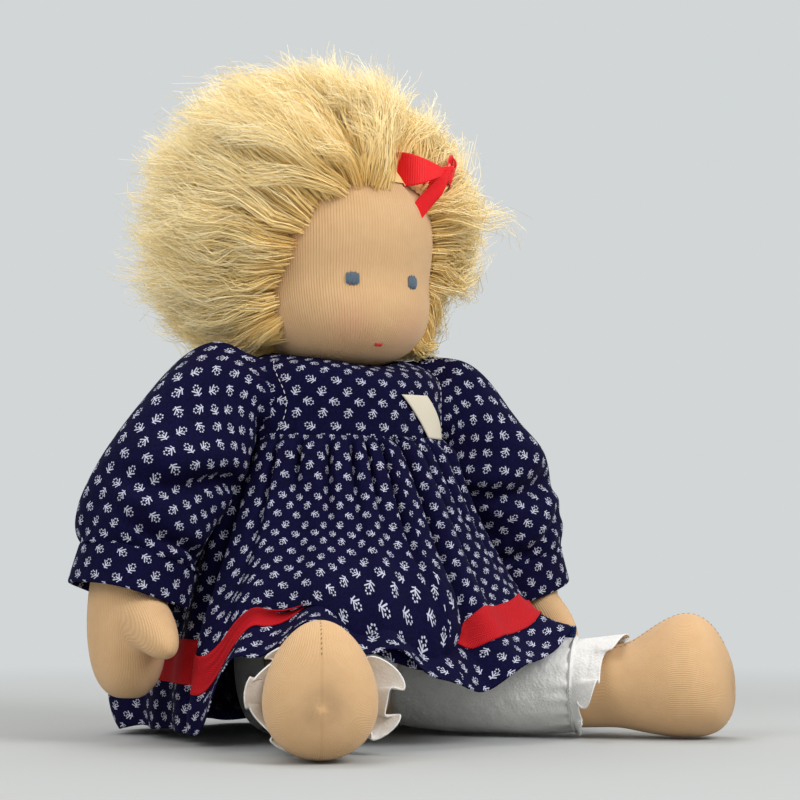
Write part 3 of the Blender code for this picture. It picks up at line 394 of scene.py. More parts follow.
# height, width and depth as shares, and the forward shift as a share of the depth
HEAD_RINGS = (
    (0.0, 0.44, 0.42, -0.036), (0.035, 0.67, 0.65, 0.05), (0.14, 0.89, 0.87, 0.045),
    (0.26, 0.955, 0.93, 0.03), (0.36, 0.945, 0.905, 0.01), (0.52, 0.995, 0.99, 0.02),
    (0.70, 0.99, 0.99, 0.0), (0.87, 0.78, 0.78, -0.02), (0.975, 0.40, 0.40, -0.03),
    (0.99, 0.12, 0.12, -0.03), (0.99, 0.0, 0.0, -0.03),
)
ROUGE = (0.66, 0.33, 0.20, 1)
ROUGE_HEIGHT = 0.1665
ROUGE_TURN = math.radians(24)
ROUGE_RADIUS = 0.017
HEAD_WALL = 0.001
HEAD_GRID = (110, 130)
# the head's own knit, which is stretched wide over the ball
HEAD_WALE = 0.0017
HEAD_KNIT_DEPTH = 0.00019


def head_rows(count):
    table = [[0, -HEAD_FORWARD - forward * HEAD_DEPTH, HEAD_BASE + height * HEAD_HEIGHT,
              width * HEAD_WIDTH / 2, depth * HEAD_DEPTH / 2] for height, width, depth, forward in HEAD_RINGS]
    return between(table, count)


# the head's rows above the opening for the neck, close enough to read any height off them
HEAD_PROFILE = head_rows(400)[30:]


def head_at(height):
    """The head's row of sizes at any height above the opening for the neck."""
    return [np.interp(height, HEAD_PROFILE[:, 2], HEAD_PROFILE[:, part]) for part in range(5)]


def on_head(turn, height, out=0.0):
    """A point of the head's front at a turn from the chest's direction, and the way it faces."""
    step = 0.0005
    at, above = head_at(height), head_at(height + step)
    across = Vector((math.sin(turn), -math.cos(turn), 0))
    reach = 1 / math.hypot(across.x / at[3], across.y / at[4])
    higher = 1 / math.hypot(across.x / above[3], across.y / above[4]) - (above[1] - at[1]) * math.cos(turn)
    normal = Vector((across.x / at[3] ** 2, across.y / at[4] ** 2, 0)).normalized()
    normal = (normal - Vector((0, 0, (higher - reach) / step))).normalized()
    return Vector((0, at[1], height)) + across * reach + normal * out, normal


def with_rouge(finish, colour, x, y, z):
    for side in (-1, 1):
        point, _ = on_head(FACE_TURN + side * ROUGE_TURN, ROUGE_HEIGHT)
        far = ((x - point.x) ** 2 + (y - point.y) ** 2 + (z - point.z) ** 2) ** 0.5
        colour = finish.mix(far.ease(0.0, ROUGE_RADIUS, 0.42, 0.0), colour, ROUGE)
    return colour


head_jersey = knit_finish("head_jersey", with_rouge, HEAD_WALE, HEAD_KNIT_DEPTH)
points = ellipses(head_rows(HEAD_GRID[0]), (1, 0, 0), (0, 1, 0), round_turns(HEAD_GRID[1], math.pi / 2))
head_skin = skin("head_knit", points, plan_of(points), head_jersey)
modify(head_skin, "SOLIDIFY", thickness=HEAD_WALL, offset=-1)
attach(head_skin, "head")
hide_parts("head_skin")


# Each eye is a small oval of satin stitch in grey-blue thread, its strands upright and packed tight.
# The mouth is two pairs of short red strands in a shallow V. All of them lie on the skin.
EYE_HEIGHT_AT = 0.18604
EYE_TURN = math.radians(22.2)
EYE_WIDTH = 0.0058
EYE_HEIGHT = 0.0058
EYE_STRANDS = 9
EYE_COLOUR = (0.135, 0.19, 0.25, 1)
MOUTH_AT = 0.1605
MOUTH_REACH = 0.0023
# the face's radius at the mouth, which turns a reach along it into an angle
MOUTH_BEND = 0.035
MOUTH_STRAND = 0.00034
EYE_RAISED = 0.0007
STRAND_RINGS = 9
MOUTH_COLOUR = (0.70, 0.035, 0.03, 1)


def strand_finish(name, colour, dark):
    """Stranded embroidery cotton: a soft sheen, and a fine twist along each strand."""
    finish = Finish(name, colour, 0.5, sheen=0.25)
    where, (x, _, z) = finish.place()
    twist = ((z * 1.4 + x) * 9000).math("SINE") * 0.5 + 0.5
    fleck = finish.noise(where, 1500, 2)
    finish.set(Base_Color=finish.mix(twist * 0.5 + fleck * 0.5, dark, colour))
    finish.relief(twist, 0.00006)
    return finish.material


def strands(name, routes, radius, surface, sides=8):
    """Round strands along short routes, drawn to a point at each end, as one mesh."""
    points = []
    faces = []
    for route in routes:
        route = between(route, STRAND_RINGS)
        for index, centre in enumerate(route):
            tangent = Vector(route[min(index + 1, STRAND_RINGS - 1)] - route[max(index - 1, 0)]).normalized()
            side = tangent.cross(Vector((0.3, -0.9, 0.2))).normalized()
            other = tangent.cross(side)
            full = radius * math.sqrt(max(0.02, 1 - (2 * index / (STRAND_RINGS - 1) - 1) ** 4))
            start = len(points)
            for turn in range(sides):
                angle = 2 * math.pi * turn / sides
                points.append(Vector(centre) + (side * math.cos(angle) + other * math.sin(angle)) * full)
                if index:
                    after = start - sides + (turn + 1) % sides
                    faces.append((start - sides + turn, after, start + (turn + 1) % sides, start + turn))
        faces.append(tuple(range(start, start + sides)))
        first = start - (STRAND_RINGS - 1) * sides
        faces.append(tuple(range(first + sides - 1, first - 1, -1)))
    return link_mesh(name, [tuple(point) for point in points], faces, surface)


eye_cotton = strand_finish("eye_cotton", EYE_COLOUR, (0.055, 0.085, 0.12, 1))
for side, label in ((1, "left"), (-1, "right")):
    routes = []
    for strand in range(EYE_STRANDS):
        share = (strand + 0.5) / EYE_STRANDS * 2 - 1
        tall = EYE_HEIGHT / 2 * math.sqrt(1 - 0.5 * share ** 2)
        turn = FACE_TURN + side * EYE_TURN + share * EYE_WIDTH / HEAD_DEPTH
        raised = EYE_RAISED * math.sqrt(1 - 0.8 * share ** 2)
        slip = 0.0003 * math.sin(strand * 2.4)
        heights = ((-1, 0.0), (-0.6, raised), (0, raised * 1.25), (0.6, raised), (1, 0.0))
        routes.append([tuple(on_head(turn, EYE_HEIGHT_AT + slip + up * tall, out)[0]) for up, out in heights])
    eye = strands("eye_" + label + "_satin", routes, EYE_WIDTH / EYE_STRANDS * 0.62, eye_cotton)
    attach(eye, "head")
    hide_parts("eye_" + label)

mouth_cotton = strand_finish("mouth_cotton", MOUTH_COLOUR, (0.50, 0.015, 0.015, 1))
routes = []
for side in (-1, 1):
    for drop in (0.0, 0.0006):
        steps = ((0, -0.0001, 0.0001), (0.3, -0.0002, 0.0005), (0.7, 0.0, 0.0004), (1, 0.0, -0.0001))
        routes.append([tuple(on_head(FACE_TURN + side * share * MOUTH_REACH / MOUTH_BEND,
                                     MOUTH_AT + up - drop, out)[0]) for share, up, out in steps])
mouth = strands("mouth_strands", routes, MOUTH_STRAND, mouth_cotton)
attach(mouth, "head")
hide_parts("mouth")


# Each arm is a knitted tube stuffed with wool and sewn to the shoulder. It hangs down out of the cuff
# and ends in a mitten with a stubby thumb that points forward. There are no fingers.
SHOULDER_X = 0.0565
SHOULDER_Z = 0.135
ARM_RADIUS = 0.0138
ARM_REACH = 0.0410
ARM_DROP = 0.101
# outward, downward, thickness across and thickness from front to back, along the arm
ARM_STEPS = (
    (-0.47, 0.0, 0.55, 0.55), (-0.45, 0.0, 0.62, 0.62), (-0.24, 0.0, 0.94, 0.94), (0.0, 0.0, 1.0, 1.0),
    (0.42, 0.18, 1.02, 1.02), (0.82, 0.48, 1.04, 1.04), (0.98, 0.68, 1.08, 1.12), (1.0, 0.80, 1.14, 1.20),
    (1.0, 0.92, 1.15, 1.18), (0.99, 1.03, 1.06, 1.08), (0.975, 1.11, 0.84, 0.86), (0.965, 1.155, 0.48, 0.50),
    (0.965, 1.162, 0.20, 0.20), (0.965, 1.162, 0.0, 0.0),
)
THUMB_DROOP = math.radians(27)
THUMB_DROP_SHARE = 0.77
THUMB_RADIUS = 0.0102
THUMB_REACH = 0.0240
# over this much of the hand's depth, from its middle forward, the thumb begins to grow
THUMB_START = 0.008
ARM_GRID = (150, 110)


def along_route(rows, count, side_axis):
    """Rings square to a smooth route: each row is a place, then the half sizes along two directions."""
    rows = between(rows, count)
    places = rows[:, :3]
    tangent = np.gradient(places, axis=0)
    tangent /= np.linalg.norm(tangent, axis=1)[:, None] + 1e-12
    side = np.array(side_axis, float)[None, :]
    up = np.cross(tangent, side)
    up /= np.linalg.norm(up, axis=1)[:, None] + 1e-12
    return rows, side, up


for side, label in ((1, "left"), (-1, "right")):
    table = [[side * (SHOULDER_X + out * ARM_REACH), 0, SHOULDER_Z - down * ARM_DROP,
              across * ARM_RADIUS, deep * ARM_RADIUS] for out, down, across, deep in ARM_STEPS]
    rows, front, outer = along_route(table, ARM_GRID[0], (0, 1, 0))
    turns = round_turns(ARM_GRID[1], -math.pi / 2 * side)
    points = (rows[:, None, :3] + rows[:, 4, None, None] * np.sin(turns)[None, :, None] * front[:, None, :]
              + rows[:, 3, None, None] * np.cos(turns)[None, :, None] * outer[:, None, :])
    plan = plan_of(points)
    root = np.array([side * (SHOULDER_X + ARM_REACH), 0, SHOULDER_Z - THUMB_DROP_SHARE * ARM_DROP])
    heading = np.array([0.0, -math.cos(THUMB_DROOP), -math.sin(THUMB_DROOP)])
    apart = points - root
    ahead = apart @ heading
    off = np.linalg.norm(apart - ahead[..., None] * heading, axis=2) / THUMB_RADIUS
    dome = 0.75 * np.sqrt(np.clip(1 - off ** 2, 0, 1)) + 0.25 * bump(off, 0, 0.9)
    push = THUMB_REACH * dome * np.clip(ahead / THUMB_START, 0, 1)
    points = points + push[..., None] * heading
    arm = skin("arm_knit_" + label, points, plan, knit)
    modify(arm, "SMOOTH", factor=0.5, iterations=4)
    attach(arm, "arm_" + label)
    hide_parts("arm_skin_" + label)


# Each leg is a knitted tube stuffed hard, with a turned-up foot as round as an egg. The skin is closed
# by one seam along the top of the leg, over the toe and down the sole. Its dark stitches show on top.
HIP_X = 0.026
HIP_Y = -0.022
LEG_AXIS = 0.0212
LEG_RADIUS = 0.0176
LEG_LENGTH = 0.131
LEG_FLOOR = 0.0003
FOOT_HEIGHT = 0.052
FOOT_WIDTH = 0.041
LEG_SPREADS = (("left", 1, math.radians(43)), ("right", -1, math.radians(30)))
# distance along the leg, its lowest and highest point and its width against the foot's, and the egg shape
FOOT_STEPS = (
    (0.655, 0.075, 0.715, 0.83, 0.02), (0.70, 0.05, 0.76, 0.87, 0.08), (0.79, 0.01, 0.925, 0.96, 0.16),
    (0.87, 0.0, 0.99, 1.02, 0.18), (0.935, 0.022, 0.90, 0.95, 0.18), (0.975, 0.085, 0.74, 0.76, 0.17),
    (1.0, 0.19, 0.58, 0.48, 0.15), (1.006, 0.29, 0.46, 0.22, 0.1), (1.007, 0.375, 0.375, 0.0, 0.0),
)
LEG_GRID = (170, 120)
SEAM_LEAN = math.radians(26)
SEAM_STITCH = {"Spacing": 0.0021, "Length": 0.0012, "Radius": 0.00019, "Slant": 0.3}
# rows of the leg's grid that stay without a stitch at each end
SEAM_ENDS = 30
SEAM_COLOUR = (0.22, 0.14, 0.085, 1)


def new_tree(name, sockets, result):
    """An empty geometry tree with its sockets, and a function that puts a node into it."""
    tree = bpy.data.node_groups.new(name, "GeometryNodeTree")
    for label, kind in sockets:
        tree.interface.new_socket(label, in_out="INPUT", socket_type="NodeSocket" + kind)
    tree.interface.new_socket(result, in_out="OUTPUT", socket_type="NodeSocketGeometry")

    def put(kind, inputs, settings=(), output=0):
        made = tree.nodes.new(kind)
        for name, value in settings:
            setattr(made, name, value)
        for name, value in inputs.items():
            if isinstance(value, bpy.types.NodeSocket):
                tree.links.new(value, made.inputs[name])
            else:
                made.inputs[name].default_value = value
        return made.outputs if output is None else made.outputs[output]

    return tree, tree.nodes.new("NodeGroupInput").outputs, put


def stitch_tree():
    """Short stitches laid end to end along any edge path, each a small rounded strand."""
    sockets = (("Seam", "Geometry"), ("Spacing", "Float"), ("Length", "Float"), ("Radius", "Float"),
               ("Slant", "Float"), ("Thread", "Material"))
    tree, given, put = new_tree("stitches_along_a_seam", sockets, "Stitches")
    curve = put("GeometryNodeMeshToCurve", {0: given["Seam"]})
    dots = put("GeometryNodeCurveToPoints", {"Curve": curve, "Length": given["Spacing"]},
               (("mode", "LENGTH"),), None)
    bead = put("GeometryNodeMeshUVSphere", {"Segments": 6, "Rings": 5, "Radius": 1.0})
    half = put("ShaderNodeMath", {0: given["Length"], 1: 0.5}, (("operation", "MULTIPLY"),))
    size = put("ShaderNodeCombineXYZ", {0: given["Radius"], 1: given["Radius"], 2: half})
    slant = put("ShaderNodeCombineXYZ", {1: given["Slant"]})
    turned = put("GeometryNodeTransform", {"Geometry": bead, "Rotation": slant, "Scale": size})
    copies = put("GeometryNodeInstanceOnPoints", {"Points": dots["Points"], "Instance": turned,
                                                  "Rotation": dots["Rotation"]})
    real = put("GeometryNodeRealizeInstances", {0: copies})
    dyed = put("GeometryNodeSetMaterial", {"Geometry": real, "Material": given["Thread"]})
    put("NodeGroupOutput", {0: dyed}, output=None)
    return tree


def grow(name, source, tree, inputs):
    """Runs a tree on a piece of geometry and keeps the result as a plain mesh of its own."""
    holder = bpy.data.objects.new(name, source)
    bpy.context.scene.collection.objects.link(holder)
    modifier = holder.modifiers.new("grow", "NODES")
    modifier.node_group = tree
    for item in tree.interface.items_tree:
        if item.name in inputs:
            modifier[item.identifier] = inputs[item.name]
    ready = holder.evaluated_get(bpy.context.evaluated_depsgraph_get())
    mesh = bpy.data.meshes.new_from_object(ready)
    holder.modifiers.clear()
    mesh.shade_smooth()
    bpy.data.objects.remove(holder, do_unlink=True)
    made = bpy.data.objects.new(name, mesh)
    bpy.context.scene.collection.objects.link(made)
    return made


def edge_paths(name, *paths):
    """Open paths of points, as a mesh of edges."""
    points = []
    edges = []
    for path in paths:
        edges += [(len(points) + step, len(points) + step + 1) for step in range(len(path) - 1)]
        points += [tuple(point) for point in path]
    mesh = bpy.data.meshes.new(name)
    mesh.from_pydata(points, edges, [])
    return mesh


STITCHES = stitch_tree()
seam_cotton = strand_finish("seam_cotton", SEAM_COLOUR, (0.07, 0.04, 0.03, 1))


def with_seam_shade(finish, colour, x, y, z):
    """Paints shade into the knit along the seam's pinched groove, as a dark line."""
    far = finish.result("ShaderNodeAttribute", {"attribute_name": "off_seam"}, {}, "Fac")
    return finish.mix(far.ease(0.0001, 0.0009, 0.8, 0.0), colour, SKIN_MOTTLE_AND_SHADE)


def leg_frame(side, spread):
    """A leg's hip, and the ways along and across it."""
    forward = np.array([side * math.sin(spread), -math.cos(spread), 0])
    return np.array([side * HIP_X, HIP_Y, LEG_AXIS]), forward, np.array([forward[1], -forward[0], 0])


# the legs' knit carries a painted shade line along its seam
leg_jersey = knit_finish("leg_jersey", with_seam_shade)
for label, side, spread in LEG_SPREADS:
    hip, forward, across = leg_frame(side, spread)
    table = []
    for degrees in (-90, -75, -45, -20, 0):
        angle = math.radians(degrees)
        reach = LEG_RADIUS * math.cos(angle)
        table.append([LEG_RADIUS * math.sin(angle), 0.0, reach, reach, 0])
    for along, fullness in ((0.15, 1.01), (0.30, 1.03), (0.45, 1.01), (0.58, 0.975)):
        table.append([along * LEG_LENGTH, 0.0, fullness * LEG_RADIUS, fullness * LEG_RADIUS, 0])
    for along, low, high, width, egg in FOOT_STEPS:
        middle = LEG_FLOOR + (low + high) / 2 * FOOT_HEIGHT - LEG_AXIS
        tall = (high - low) / 2 * FOOT_HEIGHT
        table.append([along * LEG_LENGTH, middle, width * FOOT_WIDTH / 2, tall, egg])
    rows = between(table, LEG_GRID[0])
    turns = round_turns(LEG_GRID[1], -math.pi / 2)
    toe = np.clip((rows[:, 0] / LEG_LENGTH - 0.62) / 0.2, 0, 1)[:, None]
    turns = turns[None, :] - side * SEAM_LEAN * (1 - toe)
    wide = rows[:, 2, None] * np.cos(turns) * (1 - rows[:, 4, None] * np.sin(turns))
    tall = rows[:, 3, None] * np.sin(turns)
    points = (hip + rows[:, 0, None, None] * forward + wide[..., None] * across
              + (rows[:, 1, None] + tall)[..., None] * np.array([0, 0, 1.0]))
    points[..., 2] = np.maximum(points[..., 2], LEG_FLOOR)
    leg = skin("leg_knit_" + label, points, plan_of(points), leg_jersey)
    seam_turn = LEG_GRID[1] // 2
    # how far each point lies from the seam, along the top and down the sole, which sets the seam's painted
    # shade line
    off = np.abs(wide - wide[:, seam_turn:seam_turn + 1]) + np.where(tall > -0.002, 0, 1)
    sole = (rows[:, 0] > 0.93 * LEG_LENGTH)[:, None]
    off = np.where(sole, np.abs(wide), off)
    attribute = leg.data.attributes.new("off_seam", "FLOAT", "POINT")
    attribute.data.foreach_set("value", off.reshape(-1).astype(np.float32))
    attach(leg, "leg_" + label)
    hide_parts("leg_skin_" + label)
    path = points[SEAM_ENDS:-SEAM_ENDS, seam_turn]
    settings = dict(SEAM_STITCH, Thread=seam_cotton)
    stitches = grow("leg_seam_" + label, edge_paths("leg_seam", path), STITCHES, settings)
    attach(stitches, "leg_" + label)


# The bloomers are plain white cotton: a seat over the torso and two legs. Elastic draws each leg in
# below the knee, and a deep frill stands out round the foot beyond it.
SEAT_REACH = 0.00185
SEAT_LOW = 0.0003
SEAT_WALL = 0.0005
BLOOMER_WALL = 0.0004
FRILL_WALL = 0.0006
SEAT_GRID = (70, 150)
BLOOMER_GRID = (50, 180)
BLOOMER_RADIUS = 0.0194
BLOOMER_FROM = 0.014
BLOOMER_TO = 0.0665
HIP_CLOTH = LEG_RADIUS + 0.0008
FRILL_LENGTH = 0.0140
FRILL_SLANT = {"left": 0.0090, "right": -0.0030}
FRILL_WAVES = 5
# how far the frill's edge stands out beside the leg
FRILL_REACH = 0.0292
LEG_HANGS = math.radians(-90)
LEG_LIFTS = math.radians(25)
WHITE = (0.81, 0.805, 0.785, 1)

white_cotton = Finish("white_cotton", WHITE, 0.8, sheen=0.1)
where, _ = white_cotton.place()
weave = white_cotton.noise(where, 1100, 2)
white_cotton.set(Base_Color=white_cotton.mix(weave.ease(0.2, 0.8), (0.74, 0.735, 0.71, 1), WHITE))
white_cotton.relief(weave + white_cotton.noise(where, 140, 3) * 5, 0.00028)
white_cotton = white_cotton.material

waist_elastic = Finish("covered_elastic", (0.80, 0.80, 0.78, 1), 0.6)
_, (x, y, z) = waist_elastic.place()
wrap = ((x * 1.0 + y * 0.8 + z) * 5200).math("SINE") * 0.5 + 0.5
waist_elastic.set(Base_Color=waist_elastic.mix(wrap, (0.62, 0.62, 0.60, 1), (0.84, 0.84, 0.82, 1)))
waist_elastic.relief(wrap, 0.0001)
for node in ("waist_elastic", "leg_elastic_left", "leg_elastic_right"):
    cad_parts[node].data.materials[0] = waist_elastic.material

def in_leg_well(at):
    """Whether a place of the seat is where a leg goes as it hangs down or lifts."""
    for _, side, spread in LEG_SPREADS:
        hip, forward, across = leg_frame(side, spread)
        apart = np.array(at) - hip
        along, up = apart @ forward, apart[2]
        bearing = min(max(math.atan2(up, along), LEG_HANGS), LEG_LIFTS)
        off = abs(along * math.sin(bearing) - up * math.cos(bearing))
        behind = along * math.cos(bearing) + up * math.sin(bearing) < 0
        near = math.hypot(along, up) if behind else off
        if near < BLOOMER_RADIUS and abs(apart @ across) < BLOOMER_RADIUS:
            return True
    return False


rows = torso_rows[torso_rows[:, 2] < TORSO_BASE + 0.47 * TORSO_HEIGHT].copy()
rows[:, 3:] += SEAT_REACH
rows[0, 3:] = 0
rows[:, 2] = np.maximum(rows[:, 2] - SEAT_REACH, SEAT_LOW + 0.0007)
rows = between(rows, SEAT_GRID[0])
turns = round_turns(SEAT_GRID[1], math.pi / 2)
rise = np.linspace(0, 1, SEAT_GRID[0])[:, None]
points = ellipses(rows, (1, 0, 0), (0, 1, 0), turns)
gathers = 0.0006 * np.sin(turns * 23 + np.sin(turns * 4)) * np.clip((rise - 0.75) / 0.25, 0, 1) ** 2
points = points * (1 + gathers[..., None] / 0.04 * np.array([1, 1, 0]))
seat = skin("bloomers_seat_cotton", points, plan_of(points), white_cotton)
drop_faces(seat, in_leg_well)
modify(seat, "SOLIDIFY", thickness=SEAT_WALL, offset=-1)
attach(seat, "torso")
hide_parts("bloomers_seat")

for label, side, spread in LEG_SPREADS:
    hip, forward, across = leg_frame(side, spread)
    turns = round_turns(BLOOMER_GRID[1], math.pi / 2)[None, :]
    share = np.linspace(0, 1, BLOOMER_GRID[0])[:, None]
    caught = np.exp(-(1 - share) / 0.09)
    loose = 0.0009 * np.sin(share * math.pi) + 0.0003 * np.sin(turns * 3 + share * 7) - 0.0009 * caught
    reach = BLOOMER_RADIUS + loose + 0.0007 * caught * np.sin(turns * 17 + np.sin(turns * 3 + side))
    along = BLOOMER_FROM + (BLOOMER_TO - BLOOMER_FROM) * share + 0 * turns
    rounded = np.linspace(-math.pi / 2, 0, 17)[:-1, None] + 0 * turns
    along = np.concatenate([HIP_CLOTH * np.sin(rounded), along])
    reach = np.concatenate([HIP_CLOTH * np.cos(rounded), reach])
    points = (hip + along[..., None] * forward + (reach * np.cos(turns))[..., None] * across
              + (reach * np.sin(turns))[..., None] * np.array([0, 0, 1]))
    points[..., 2] = np.maximum(points[..., 2], 0.0009)
    tube = skin("bloomer_leg_cotton_" + label, points, plan_of(points), white_cotton)
    modify(tube, "SOLIDIFY", thickness=BLOOMER_WALL, offset=-1)

    share = np.linspace(0, 1, 40)[:, None]
    grown = share ** 1.15
    swing = turns * FRILL_WAVES + 0.8 * np.sin(turns * 2 + side)
    calmer = 0.65 - 0.45 * np.cos(turns) if label == "right" else 0.9
    wider = (FRILL_REACH - BLOOMER_RADIUS) * (1 - 0.2 * np.cos(turns) * (label == "right"))
    reach_side = BLOOMER_RADIUS - 0.0008 + wider * grown + 0.0036 * calmer * grown * np.cos(swing)
    reach_up = BLOOMER_RADIUS - 0.0008 + 0.0016 * grown + 0.0024 * grown * (np.cos(swing) - 0.6)
    swept = turns + 0.15 * grown * np.sin(2 * swing)
    along = BLOOMER_TO + 0.0006 + FRILL_LENGTH * share + 0.0021 * grown * np.sin(swing + 0.7)
    along = along + FRILL_SLANT[label] * grown * (np.sin(turns) - 0.4)
    points = (hip + along[..., None] * forward + (reach_side * np.cos(swept))[..., None] * across
              + (reach_up * np.sin(swept))[..., None] * np.array([0, 0, 1]))
    points[..., 2] = np.maximum(points[..., 2], 0.0007 + 0.0003 * np.sin(swing))
    frill = skin("frill_cotton_" + label, points, plan_of(points), white_cotton)
    modify(frill, "SOLIDIFY", thickness=FRILL_WALL, offset=-1)
    for piece, node in ((tube, "bloomer_leg_"), (frill, "frill_")):
        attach(piece, "leg_" + label)
        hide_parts(node + label)


# The dress top is a printed cotton yoke, one panel in front and two behind that button down the
# middle. Navy ground with small white sprigs, each turned a quarter from its neighbours. White
# topstitching follows the armholes.
CLOTH = 0.0005
YOKE_SEAM = 0.1215
YOKE_TOP = 0.1575
YOKE_DROP = 0.0050
YOKE_LOOSE = 0.0042
YOKE_CHEST = 0.0440
YOKE_BODY = 0.033
YOKE_NECK = (0.030, 0.025)
YOKE_CORNER = 8
# each panel, and the directions in degrees that it runs between
YOKE_PANELS = (("yoke_front", -90, 90), ("yoke_back_left", 90, 180), ("yoke_back_right", -180, -90))
ARMHOLE = 0.0165
TOPSTITCH = {"Spacing": 0.0026, "Length": 0.0018, "Radius": 0.00017, "Slant": 0.0}
TOPSTITCH_OFF = 0.0058
SPRIG_CELL = 6.9
SPRIG_LEAN = math.radians(18)
# the rows of sprigs run at 45 degrees to the thread: its sine
BIAS = 0.7071
# the sprig in millimetres, with its flower up
FLOWER_UP = 0.75
FLOWER_RING = 0.86
FLOWER_DOT = 0.29
SPRIG_STROKES = (
    ((0.05, -0.1), (0.15, -2.3), 0.19), ((-1.65, 0.05), (0.0, -1.25), 0.21),
    ((1.6, -0.1), (0.1, -1.45), 0.21), ((-1.4, -1.5), (0.1, -1.95), 0.19), ((1.25, -1.75), (0.1, -2.1), 0.18),
)
NAVY = (0.0032, 0.0026, 0.034, 1)
NAVY_DARK = (0.0018, 0.0015, 0.015, 1)
SPRIG_WHITE = (0.52, 0.54, 0.66, 1)
NAVY_BACK = (0.032, 0.034, 0.085, 1)
SPRIG_BACK = (0.17, 0.18, 0.28, 1)
HEM_THREAD = (0.008, 0.03, 0.21, 1)
HEM_EDGE = 0.0035


def stroke(x, y, start, end, width):
    """1 inside a short round-ended line, and 0 off it."""
    run, rise = end[0] - start[0], end[1] - start[1]
    along = ((x - start[0]) * run + (y - start[1]) * rise) / (run ** 2 + rise ** 2)
    held = along.math("MINIMUM", 1.0).math("MAXIMUM", 0.0)
    far_x = x - start[0] - held * run
    far_y = y - start[1] - held * rise
    return ((far_x * far_x + far_y * far_y) ** 0.5).ease(width * 0.6, width * 1.3, 1.0, 0.0)


def sprig_share(across, along):
    """1 on the printed sprigs and 0 on the ground, over a cloth's flat plan in metres."""
    column = across * (1000 / SPRIG_CELL)
    row = along * (1000 / SPRIG_CELL)
    turn = (column.math("FLOOR") + row.math("FLOOR")) * (math.pi / 2) + SPRIG_LEAN
    cosine, sine = turn.math("COSINE"), turn.math("SINE")
    x = (column.math("FRACT") - 0.5) * SPRIG_CELL
    y = (row.math("FRACT") - 0.5) * SPRIG_CELL
    side = x * cosine + y * sine
    up = y * cosine - x * sine
    petal_y = up - FLOWER_UP
    far = (side * side + petal_y * petal_y) ** 0.5
    fold = ((petal_y.math("ARCTAN2", side) * (3 / math.pi)).math("FRACT") - 0.5) * (math.pi / 3)
    dot_x = far * fold.math("COSINE") - FLOWER_RING
    dot_y = far * fold.math("SINE")
    share = ((dot_x * dot_x + dot_y * dot_y) ** 0.5).ease(FLOWER_DOT * 0.6, FLOWER_DOT * 1.3, 1.0, 0.0)
    for start, end, width in SPRIG_STROKES:
        share = share.math("MAXIMUM", stroke(side, up, start, end, width))
    return share


def print_finish(name, ground, dark, sprig, hem=None):
    """Printed cotton. hem is how far the overlocked edge reaches up from the last row."""
    finish = Finish(name, ground, 0.9)
    finish.shader.inputs["Specular IOR Level"].default_value = 0.1
    _, (across, along, _) = finish.place("cloth")
    where, _ = finish.place()
    weave = finish.noise(where, 900, 2)
    colour = finish.mix(weave.ease(0.3, 0.7), dark, ground)
    rising, falling = (across + along) * BIAS, (along - across) * BIAS
    colour = finish.mix(sprig_share(rising, falling) * weave.ease(0.2, 0.5, 0.8, 1.0), colour, sprig)
    if hem:
        loops = ((across * 2600).math("SINE") * 0.4 + 0.6) * along.ease(-hem - 0.0006, -hem)
        colour = finish.mix(loops, colour, HEM_THREAD)
    finish.set(Base_Color=colour)
    finish.relief(weave + finish.noise(where, 120, 2) * 3, 0.00022)
    return finish.material


def cloth(name, points, outside, inside, closed=True, middle=None, thickness=CLOTH):
    """A thin sheet over a grid of points, its wrong side in a material of its own."""
    made = skin(name, points, plan_of(points, closed, True), outside, closed, middle)
    made.data.materials.append(inside)
    modify(made, "SOLIDIFY", thickness=thickness, offset=-1, material_offset=1, use_rim=True)
    return made


def settle(made, body, node):
    """Puts a finished piece on its body, in the place of one solid node."""
    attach(made, body)
    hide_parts(node)


def yoke_halves(height):
    """Half the dress top's width and depth, at a share of its height."""
    shoulder = height ** YOKE_CORNER
    wide = (1 - shoulder) * (YOKE_CHEST + YOKE_LOOSE) + shoulder * YOKE_NECK[0]
    deep = (1 - shoulder) * (YOKE_BODY + YOKE_LOOSE) + shoulder * YOKE_NECK[1]
    return wide, deep


def yoke_at(angle, height, out=0.0):
    """Points of the dress top: height runs from the skirt seam to the neck edge."""
    shoulder = height ** YOKE_CORNER
    wide, deep = (half + out for half in yoke_halves(height))
    front = np.maximum(0, np.cos(angle)) ** 2
    z = YOKE_SEAM + height * (YOKE_TOP - YOKE_SEAM) - YOKE_DROP * front * height ** 2
    z = z + out * shoulder
    return np.stack([wide * np.sin(angle), TORSO_SETBACK - deep * np.cos(angle), z], -1)


def in_armhole(at):
    """Whether a place of the dress top is where an arm goes through it."""
    return abs(at.x) > 0.5 * YOKE_CHEST and math.hypot(at.y, at.z - SHOULDER_Z) < ARMHOLE


sprig_cotton = print_finish("sprig_cotton", NAVY, NAVY_DARK, SPRIG_WHITE)
sprig_wrong_side = print_finish("sprig_cotton_wrong_side", NAVY_BACK, NAVY, SPRIG_BACK)
white_thread = strand_finish("white_thread", (0.85, 0.85, 0.88, 1), (0.6, 0.6, 0.62, 1))
for name, first, last in YOKE_PANELS:
    angle = np.radians(np.linspace(first + 0.15, last - 0.15, last - first + 1))[None, :]
    height = (1 - (1 - np.linspace(0, 1, 50)) ** 1.6)[:, None]
    puckers = 0.0005 * np.sin(angle * 37 + 2 * np.sin(angle * 9)) * np.exp(-height / 0.16)
    points = yoke_at(angle, height, puckers + 0.0004 * np.sin(angle * 5 + height * 4))
    panel = skin(name, points, plan_of(points, False), sprig_cotton, closed=False, middle=(0, 0, 0.14))
    panel.data.materials.append(sprig_wrong_side)
    drop_faces(panel, in_armhole)
    modify(panel, "SOLIDIFY", thickness=CLOTH, offset=-1, material_offset=1)
    settle(panel, "torso", name)

